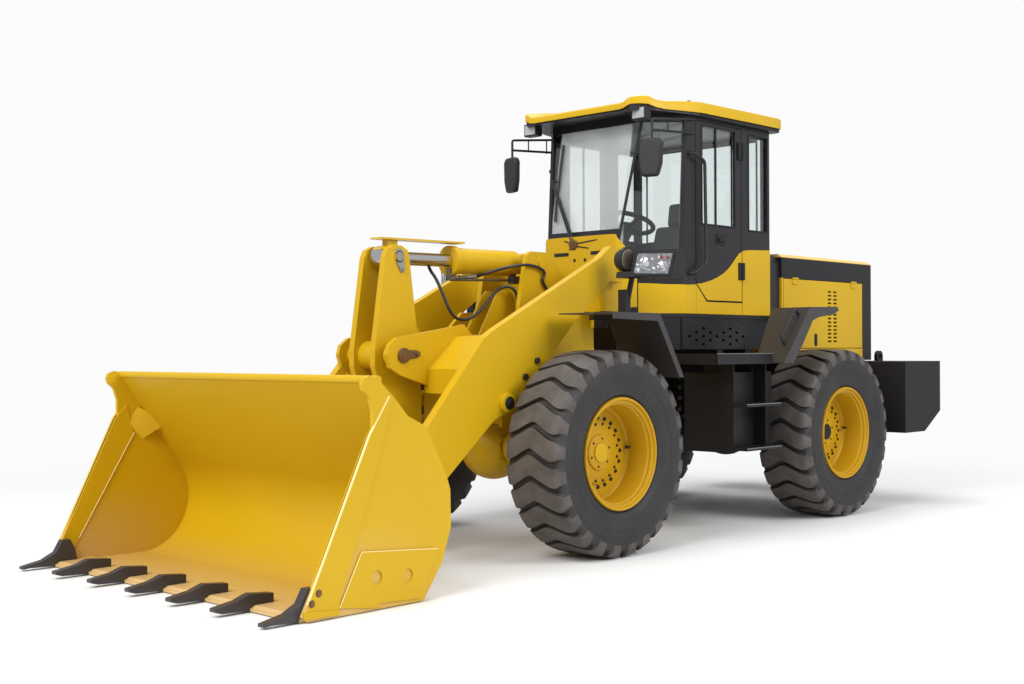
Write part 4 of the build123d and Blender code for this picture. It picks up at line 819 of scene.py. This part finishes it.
# ---- Fenders and steps ----------------------------------------------------------------------
# Folded plate fenders, the steps with their side boxes and the perforated skirt panel under the
# cab, all in charcoal enamel with worn pale edges, and a bent grab handle on each rear fender.
fender_grey = surface("charcoal fender enamel", (0.036, 0.032, 0.031), 0.34, specular=0.55)
for node in ("front_fenders", "rear_fenders"):
    finish_node(node, fender_grey, 0.002)
finish_node("steps", charcoal, 0.003)
pale_edge = surface("rubbed enamel edge", (0.17, 0.16, 0.155), 0.5)
side_boxes = bmesh.new()
for sx in (1, -1):
    block(side_boxes, sx * 1.038, sx * 1.054, 0.30, 1.0, 1.192, 1.268)
    block(side_boxes, sx * 0.70, sx * 1.054, 0.30, 0.306, 1.192, 1.268)
    block(side_boxes, sx * 1.0535, sx * 1.0555, 0.30, 1.0, 1.264, 1.2685, material=1)
    block(side_boxes, sx * 1.1095, sx * 1.1115, 0.5805, 1.0255, 0.905, 0.9105, material=1)
    block(side_boxes, sx * 1.1095, sx * 1.1115, 0.5805, 1.0255, 0.595, 0.6005, material=1)
    rod(side_boxes, (sx * 0.94, 0.60, 0.60), (sx * 0.94, 0.60, 1.195), 0.010, 12, material=2)
    for z in (0.66, 0.84, 1.02):
        screw(side_boxes, (sx * 0.90, 0.66, z), (sx, 0, 0), 0.012, 0.010, material=2)
    for z in (0.70, 0.78, 0.86, 0.94, 1.02, 1.09):
        screw(side_boxes, (sx * 0.52, 0.5955, z), (0, -1, 0), 0.012, 0.010, material=2)
keep_piece("step_channels", side_boxes, (charcoal, pale_edge, bolt_steel),
           "rear", bevel=0.001)
skirt = bmesh.new()
slot_rows = ((1.451, 2), (1.422, 4), (1.393, 5), (1.364, 4), (1.335, 2))
for sx in (1, -1):
    block(skirt, sx * 0.650, sx * 0.6575, 0.44, 1.286, 1.300, 1.520)
    # Each slot is a thin disc of painted shade laid on the panel, not a cut hole.
    for z, count in slot_rows:
        pitch = 0.172 if count > 2 else 0.345
        for i in range(count):
            y = 0.873 + (i - (count - 1) / 2) * pitch
            hole = [(y + 0.020 * cos(tau * k / 14), z + 0.0095 * sin(tau * k / 14)) for k in range(14)]
            plate(skirt, hole, sx * 0.657, sx * 0.6582, material=1)
    for y, z in ((0.56, 1.495), (0.89, 1.495), (1.22, 1.495), (0.50, 1.32), (1.24, 1.32)):
        screw(skirt, (sx * 0.6575, y, z), (sx, 0, 0), 0.009, 0.007, material=2)
keep_piece("skirt_panels", skirt, (charcoal, painted_shade_black, bolt_steel), "rear",
           bevel=0.001)


def sweep(bm, path, radius, sides=12):
    """Adds a round tube that follows a line of points."""
    path = [Vector(spot) for spot in path]
    rings = []
    side = None
    for i, spot in enumerate(path):
        along = (path[min(i + 1, len(path) - 1)] - path[max(i - 1, 0)]).normalized()
        if side is None:
            side = along.orthogonal().normalized()
        side = (side - along * side.dot(along)).normalized()
        other = along.cross(side)
        turns = [tau * k / sides for k in range(sides)]
        rings.append([bm.verts.new(spot + side * radius * cos(turn) + other * radius * sin(turn))
                      for turn in turns])
    bm.faces.new(rings[0][::-1])
    bm.faces.new(rings[-1])
    for here, there in zip(rings, rings[1:]):
        for k in range(sides):
            bm.faces.new((here[k], here[(k + 1) % sides], there[(k + 1) % sides], there[k]))


def bent_bar(bm, points, radius, corner, sides=12):
    """Adds a round bar along runs between points, bent to a radius at each corner."""
    path = [Vector(points[0])]
    for a, b, c in zip(points, points[1:], points[2:]):
        a, b, c = Vector(a), Vector(b), Vector(c)
        start = b + (a - b).normalized() * corner
        end = b + (c - b).normalized() * corner
        for i in range(7):
            t = i / 6
            path.append(start * (1 - t) ** 2 + b * 2 * t * (1 - t) + end * t ** 2)
    path.append(Vector(points[-1]))
    sweep(bm, path, radius, sides)


handles = bmesh.new()
for sx in (1, -1):
    (ya, za), (yb, zb) = (-0.64, 1.555), (-0.835, 1.335)
    out = Vector((0, zb - za, ya - yb)).normalized() * 0.065
    low, high = Vector((sx * 1.085, rear_y + yb, zb)), Vector((sx * 1.085, rear_y + ya, za))
    bent_bar(handles, [high, high + out, low + out, low], 0.011, 0.045)
keep_piece("fender_handles", handles, (black_plastic,), "rear")

# ---- Mirrors and lamps ----------------------------------------------------------------------
# Moulded mirror heads on bent tube arms clipped to the front pillars, a steel tube grab rail ahead
# of each door, and the wiper. A post inside each front fender carries a panel with a square lamp
# and a round work lamp.


def upright(bm, foot, along, outline, back, front, material=0):
    """Adds an upright plate cut to (run, z) points; run goes from foot along a level direction."""
    out = Vector((along[1], -along[0], 0.0))
    base, run = Vector((*foot, 0.0)), Vector((*along, 0.0))
    near, far = [[base + run * u + out * depth + Vector((0, 0, z)) for u, z in outline]
                 for depth in (back, front)]
    slab(bm, near, far, material)


head_outline = ((-0.062, 2.500), (0.056, 2.500), (0.084, 2.590), (0.090, 2.740), (0.060, 2.770),
                (-0.060, 2.770), (-0.090, 2.740), (-0.086, 2.590))
clip_y = 0.5805
heads = bmesh.new()
tubes = bmesh.new()
for sx in (1, -1):
    foot, along = (sx * 0.666, steer_y - 0.490), (cos(radians(16)) * sx, sin(radians(16)))
    upright(heads, foot, along, head_outline, -sx * 0.024, sx * 0.030)
    bent_bar(tubes, [(sx * 0.659, clip_y, 2.964), (sx * 0.672, clip_y, 2.964),
                     (sx * 0.670, steer_y - 0.484, 2.904), (sx * 0.670, steer_y - 0.484, 2.765)],
             0.009, 0.02)
    bent_bar(tubes, [(sx * 0.659, clip_y, 2.862), (sx * 0.672, clip_y, 2.862),
                     (sx * 0.670, steer_y - 0.480, 2.828)], 0.009, 0.02)
    for y in (-0.09, -0.30):
        rod(tubes, (sx * 0.671, steer_y + y, 2.842),
            (sx * 0.671, steer_y + y, 2.955 + (y + 0.09) * 0.11), 0.005, 8)
head_piece = keep_piece("mirror_heads", heads, (black_plastic,), "rear",
                        bevel=0.020, round_below=60, stands_for=("mirrors",))
head_piece.modifiers["edge"].segments = 4
keep_piece("mirror_tubes", tubes, (black_plastic,), "rear", stands_for=("mirrors",))

lamp_red = surface("indicator bulb", (0.20, 0.035, 0.02), 0.25, coat=0.4)
lens_grey = surface("smoked lens", (0.13, 0.105, 0.075), 0.12, coat=0.8)
silvered = surface("silvered reflector", (0.42, 0.42, 0.43), 0.20, metallic=1.0)
silver_tree = silvered.node_tree
facets = add_node(silver_tree, "TexVoronoi", {"Vector": own_place(silver_tree), "Scale": 26.0})
dimple = add_node(silver_tree, "Bump", {"Height": facets.outputs["Distance"], "Strength": 0.7,
                                        "Distance": 0.01})
silver_tree.links.new(dimple.outputs["Normal"], shader_input(silver_tree, "Normal"))
# The lamp panels are turned 36 degrees outwards.
turn_cos, turn_sin = 0.8127, 0.5827
units = bmesh.new()
for sx in (1, -1):
    foot, along = (sx * 0.790, -0.480), (turn_cos * sx, turn_sin)
    for outline, back, front, finish in (
            (((0.095, 1.772), (0.130, 1.955), (0.452, 1.958), (0.455, 1.772)), -0.11, 0.0, 0),
            (((0.108, 1.783), (0.138, 1.940), (0.392, 1.940), (0.358, 1.781)), 0.0, 0.010, 0),
            (((0.122, 1.797), (0.150, 1.927), (0.376, 1.927), (0.343, 1.795)), 0.0, 0.012, 1)):
        upright(units, foot, along, outline, sx * back, sx * front, material=finish)
    out = Vector((turn_sin * sx, -turn_cos, 0.0))
    for u, z, radius, finish in ((0.203, 1.858, 0.050, 1), (0.307, 1.842, 0.036, 1),
                                 (0.303, 1.903, 0.015, 2), (0.346, 1.900, 0.013, 2)):
        spot = Vector((foot[0] + along[0] * u, foot[1] + along[1] * u, z))
        rod(units, spot + out * 0.010, spot + out * 0.016, radius, 28, material=finish,
            end_radius=radius * 0.7)
        if finish == 1:
            rod(units, spot + out * 0.016, spot + out * 0.020, radius * 0.42, 20, material=3,
                end_radius=radius * 0.30)
    centre = Vector((sx * 0.818, -0.376, 1.893))
    rod(units, centre - Vector((sx * 0.075, 0, 0)), centre - Vector((sx * 0.02, 0, 0)),
        0.062, 32, end_radius=0.088)
    rod(units, centre - Vector((sx * 0.02, 0, 0)), centre, 0.088, 32, end_radius=0.086)
    rod(units, centre, centre + Vector((sx * 0.004, 0, 0)), 0.072, 32, material=4, end_radius=0.068)
    rod(units, (sx * 0.722, -0.265, 1.5218), (sx * 0.722, -0.265, 1.640), 0.019, 18)
    rod(units, (sx * 0.722, -0.265, 1.636), (sx * 0.800, -0.305, 1.812), 0.019, 18)
    plate(units, ((-0.44, 1.772), (-0.30, 1.772), (-0.285, 1.800), (-0.43, 1.812)), sx * 0.76, sx * 0.90)
    block(units, sx * 0.690, sx * 0.760, -0.330, -0.300, 1.5302, 1.70)
keep_piece("head_lamp_units", units, (black_plastic, silvered, lamp_red, lamp_glass, lens_grey), "front",
           bevel=0.0015, stands_for=("head_lamps",))

grab = bmesh.new()
for sx in (1, -1):
    x = sx * 0.700
    bent_bar(grab, [(sx * 0.655, steer_y - 0.030, 2.715), (x, steer_y - 0.028, 2.715),
                    (x, steer_y + 0.105, 2.664), (x, steer_y + 0.121, 1.925),
                    (x, steer_y - 0.030, 1.845), (sx * 0.655, steer_y - 0.034, 1.845)], 0.0125, 0.030)
keep_piece("grab_rails", grab, (black_plastic,), "rear")
wiper = bmesh.new()
rod(wiper, (-0.062, 0.105, 2.068), (-0.050, 0.068, 2.064), 0.026, 20)
rod(wiper, (-0.053, 0.074, 2.066), (-0.050, 0.064, 2.064), 0.040, 10, material=1, end_radius=0.030)
for start, end in (((-0.148, 0.082, 2.099), (-0.060, 0.076, 2.072)),
                   ((-0.099, 0.080, 2.032), (-0.060, 0.076, 2.060)),
                   ((0.165, 0.082, 2.093), (-0.045, 0.076, 2.074)),
                   ((0.086, 0.080, 2.036), (-0.045, 0.076, 2.058))):
    rod(wiper, start, end, 0.0045, 8)
for shift in (-0.011, 0.011):
    bent_bar(wiper, [(-0.060 + shift, 0.080, 2.070), (-0.085 + shift, 0.088, 2.120),
                     (-0.363 + shift * 0.4, 0.188, 2.575)], 0.0085, 0.02, 8)
bent_bar(wiper, [(-0.286, 0.136, 2.257), (-0.300, 0.168, 2.420), (-0.291, 0.240, 2.842)],
         0.0105, 0.03, 8)
rod(wiper, (-0.368, 0.188, 2.575), (-0.291, 0.192, 2.560), 0.009, 8)
keep_piece("windshield_wiper", wiper, (black_plastic, pin_primer), "rear")

# ---- Driver's place -------------------------------------------------------------------------
# Sprung seat with a moulded foam cushion, back and head restraint in grey-green cloth on a black
# pedestal. The steering wheel is moulded rubber over steel, on a raked column behind a dark dash.
seat_cloth = surface("grey-green seat cloth", (0.085, 0.098, 0.095), 0.85, specular=0.2)
steering_hub = Vector((0.0, 0.650, 2.262))
steering_radius = 0.195
rake = Vector((0.0, sin(radians(20)), cos(radians(20))))
level = Vector((1.0, 0.0, 0.0))
steering = bmesh.new()
steering_turns = [tau * i / 48 for i in range(49)]
sweep(steering, [steering_hub + steering_radius * (level * cos(turn) + rake.cross(level) * sin(turn))
                 for turn in steering_turns], 0.0185, 14)
rod(steering, steering_hub - rake * 0.050, steering_hub - rake * 0.010, 0.060, 28, end_radius=0.048)
for spoke in (90, 205, 335):
    reach = level * cos(radians(spoke)) + rake.cross(level) * sin(radians(spoke))
    rod(steering, steering_hub + reach * 0.03 - rake * 0.03, steering_hub + reach * 0.19, 0.014, 10)
rod(steering, (0.0, 0.300, 1.850), steering_hub - rake * 0.045, 0.095, 24, end_radius=0.055)
block(steering, -0.33, 0.33, 0.168, 0.245, 1.800, 2.120)
block(steering, -0.13, 0.13, 0.163, 0.311, 1.5605, 1.920)
keep_piece("steering_stand", steering, (seal_rubber,), "rear",
           round_below=40, stands_for=("steering_column",))
seat_y = steer_y + 0.08
pedestal = bmesh.new()
block(pedestal, -0.15, 0.15, seat_y + 0.18, seat_y + 0.52, 1.5605, 1.90)
keep_piece("seat_pedestal", pedestal, (black_plastic,), "rear", bevel=0.01,
           stands_for=("seat",))
for name, half, outline in (
        ("seat_cushion", 0.245, ((0.13, 1.90), (0.60, 1.90), (0.60, 2.01), (0.13, 2.01))),
        ("seat_back", 0.230, ((0.56, 2.00), (0.65, 2.00), (0.73, 2.275), (0.65, 2.29))),
        ("head_restraint", 0.115, ((0.64, 2.28), (0.722, 2.27), (0.744, 2.455), (0.668, 2.47)))):
    foam = bmesh.new()
    plate(foam, [(seat_y + y, z) for y, z in outline], -half, half)
    cushion = keep_piece(name, foam, (seat_cloth,), "rear", bevel=0.034, round_below=60,
                         stands_for=("seat",))
    cushion.modifiers["edge"].segments = 6
    cushion.modifiers["edge"].harden_normals = False

# ---- Tilt cylinder plumbing -----------------------------------------------------------------
# Two rubber hoses bring oil to the tilt cylinder: one to a crimped end and a rigid steel pipe
# under the tube, one looping down from its gland. Both come up out of the front frame's tower,
# which two yellow gusset plates stiffen.
hose_rubber = surface("hydraulic hose rubber", (0.016, 0.015, 0.016), 0.42, specular=0.5)
dull_steel = surface("dull zinc fittings", (0.17, 0.145, 0.105), 0.42, metallic=0.75)
dark_clamp = surface("black pipe clamp", (0.05, 0.045, 0.035), 0.5)
hose_radius = 0.0105
hoses = {
    "tilt_hose_gland": (1.06, (
        (-0.040, -1.385, 1.848), (-0.022, -1.392, 1.820), (0.020, -1.375, 1.765), (0.060, -1.353, 1.663),
        (0.085, -1.324, 1.565), (0.090, -1.275, 1.505), (0.090, -1.180, 1.492), (0.090, -1.090, 1.522),
        (0.090, -1.000, 1.592), (0.096, -0.925, 1.668), (0.120, -0.872, 1.718), (0.145, -0.812, 1.728),
        (0.162, -0.762, 1.690), (0.163, -0.752, 1.626))),
    "tilt_hose_pipe": (0.76, (
        (0.030, -1.015, 1.790), (0.062, -1.008, 1.797), (0.110, -0.990, 1.812), (0.170, -0.952, 1.832),
        (0.215, -0.885, 1.852), (0.230, -0.790, 1.868), (0.232, -0.697, 1.872), (0.232, -0.597, 1.855),
        (0.230, -0.545, 1.822), (0.228, -0.580, 1.775), (0.226, -0.545, 1.727), (0.224, -0.490, 1.680))),
}
for name, (length, route) in hoses.items():
    line = bpy.data.curves.new(name + "_line", "CURVE")
    line.dimensions = "3D"
    line.resolution_u = 10
    run = line.splines.new("NURBS")
    run.points.add(len(route) - 1)
    for point, spot in zip(run.points, route):
        point.co = (*spot, 1)
    run.order_u = 3
    run.use_endpoint_u = True
    guide = put(name + "_line", line)
    bpy.context.view_layer.update()
    traced = bpy.data.meshes.new_from_object(guide)
    centre_line = [tuple(vert.co) for vert in traced.vertices]
    bpy.data.objects.remove(guide)
    hose = bmesh.new()
    sweep(hose, centre_line, hose_radius)
    shape = bpy.data.meshes.new(name)
    for face in hose.faces:
        face.smooth = len(face.verts) == 4
    bmesh.ops.recalc_face_normals(hose, faces=hose.faces)
    hose.to_mesh(shape)
    hose.free()
    shape.materials.append(hose_rubber)
    tube = put(name, shape)
    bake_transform(tube)
pipes = bmesh.new()
rod(pipes, (0.030, -1.268, 1.769), (0.030, -1.232, 1.770), 0.019, 6)
rod(pipes, (0.030, -1.234, 1.770), (0.030, -1.110, 1.780), 0.014, 16)
rod(pipes, (0.030, -1.182, 1.774), (0.030, -1.167, 1.775), 0.019, 6)
rod(pipes, (0.030, -1.112, 1.780), (0.030, -1.010, 1.791), 0.0135, 18, material=1)
rod(pipes, (0.028, -1.232, 1.759), (0.028, -0.675, 1.776), 0.0085, 12)
block(pipes, 0.000, 0.050, -0.680, -0.612, 1.752, 1.804, material=2)
block(pipes, 0.006, 0.024, -0.670, -0.625, 1.795, 1.835, material=2)
block(pipes, 0.010, 0.034, -1.272, -1.246, 1.764, 1.835)
keep_piece("tilt_pipes", pipes, (dull_steel, plated, dark_clamp), "tilt_barrel",
           bevel=0.0008)
gusset = bmesh.new()
for sx in (1, -1):
    plate(gusset, ((-1.050, 1.372), (-0.870, 1.668), (-0.830, 1.698), (-0.780, 1.706), (-0.725, 1.692),
                   (-0.690, 1.655), (-0.680, 1.600), (-0.680, 1.372)), sx * 0.060, sx * 0.074)
    rod(gusset, (sx * 0.080, -0.510, 1.913), (sx * 0.118, -0.510, 1.913), 0.024, 18, material=1)
keep_piece("tower_gussets", gusset, (yellow, dark_clamp), "front", bevel=0.002)
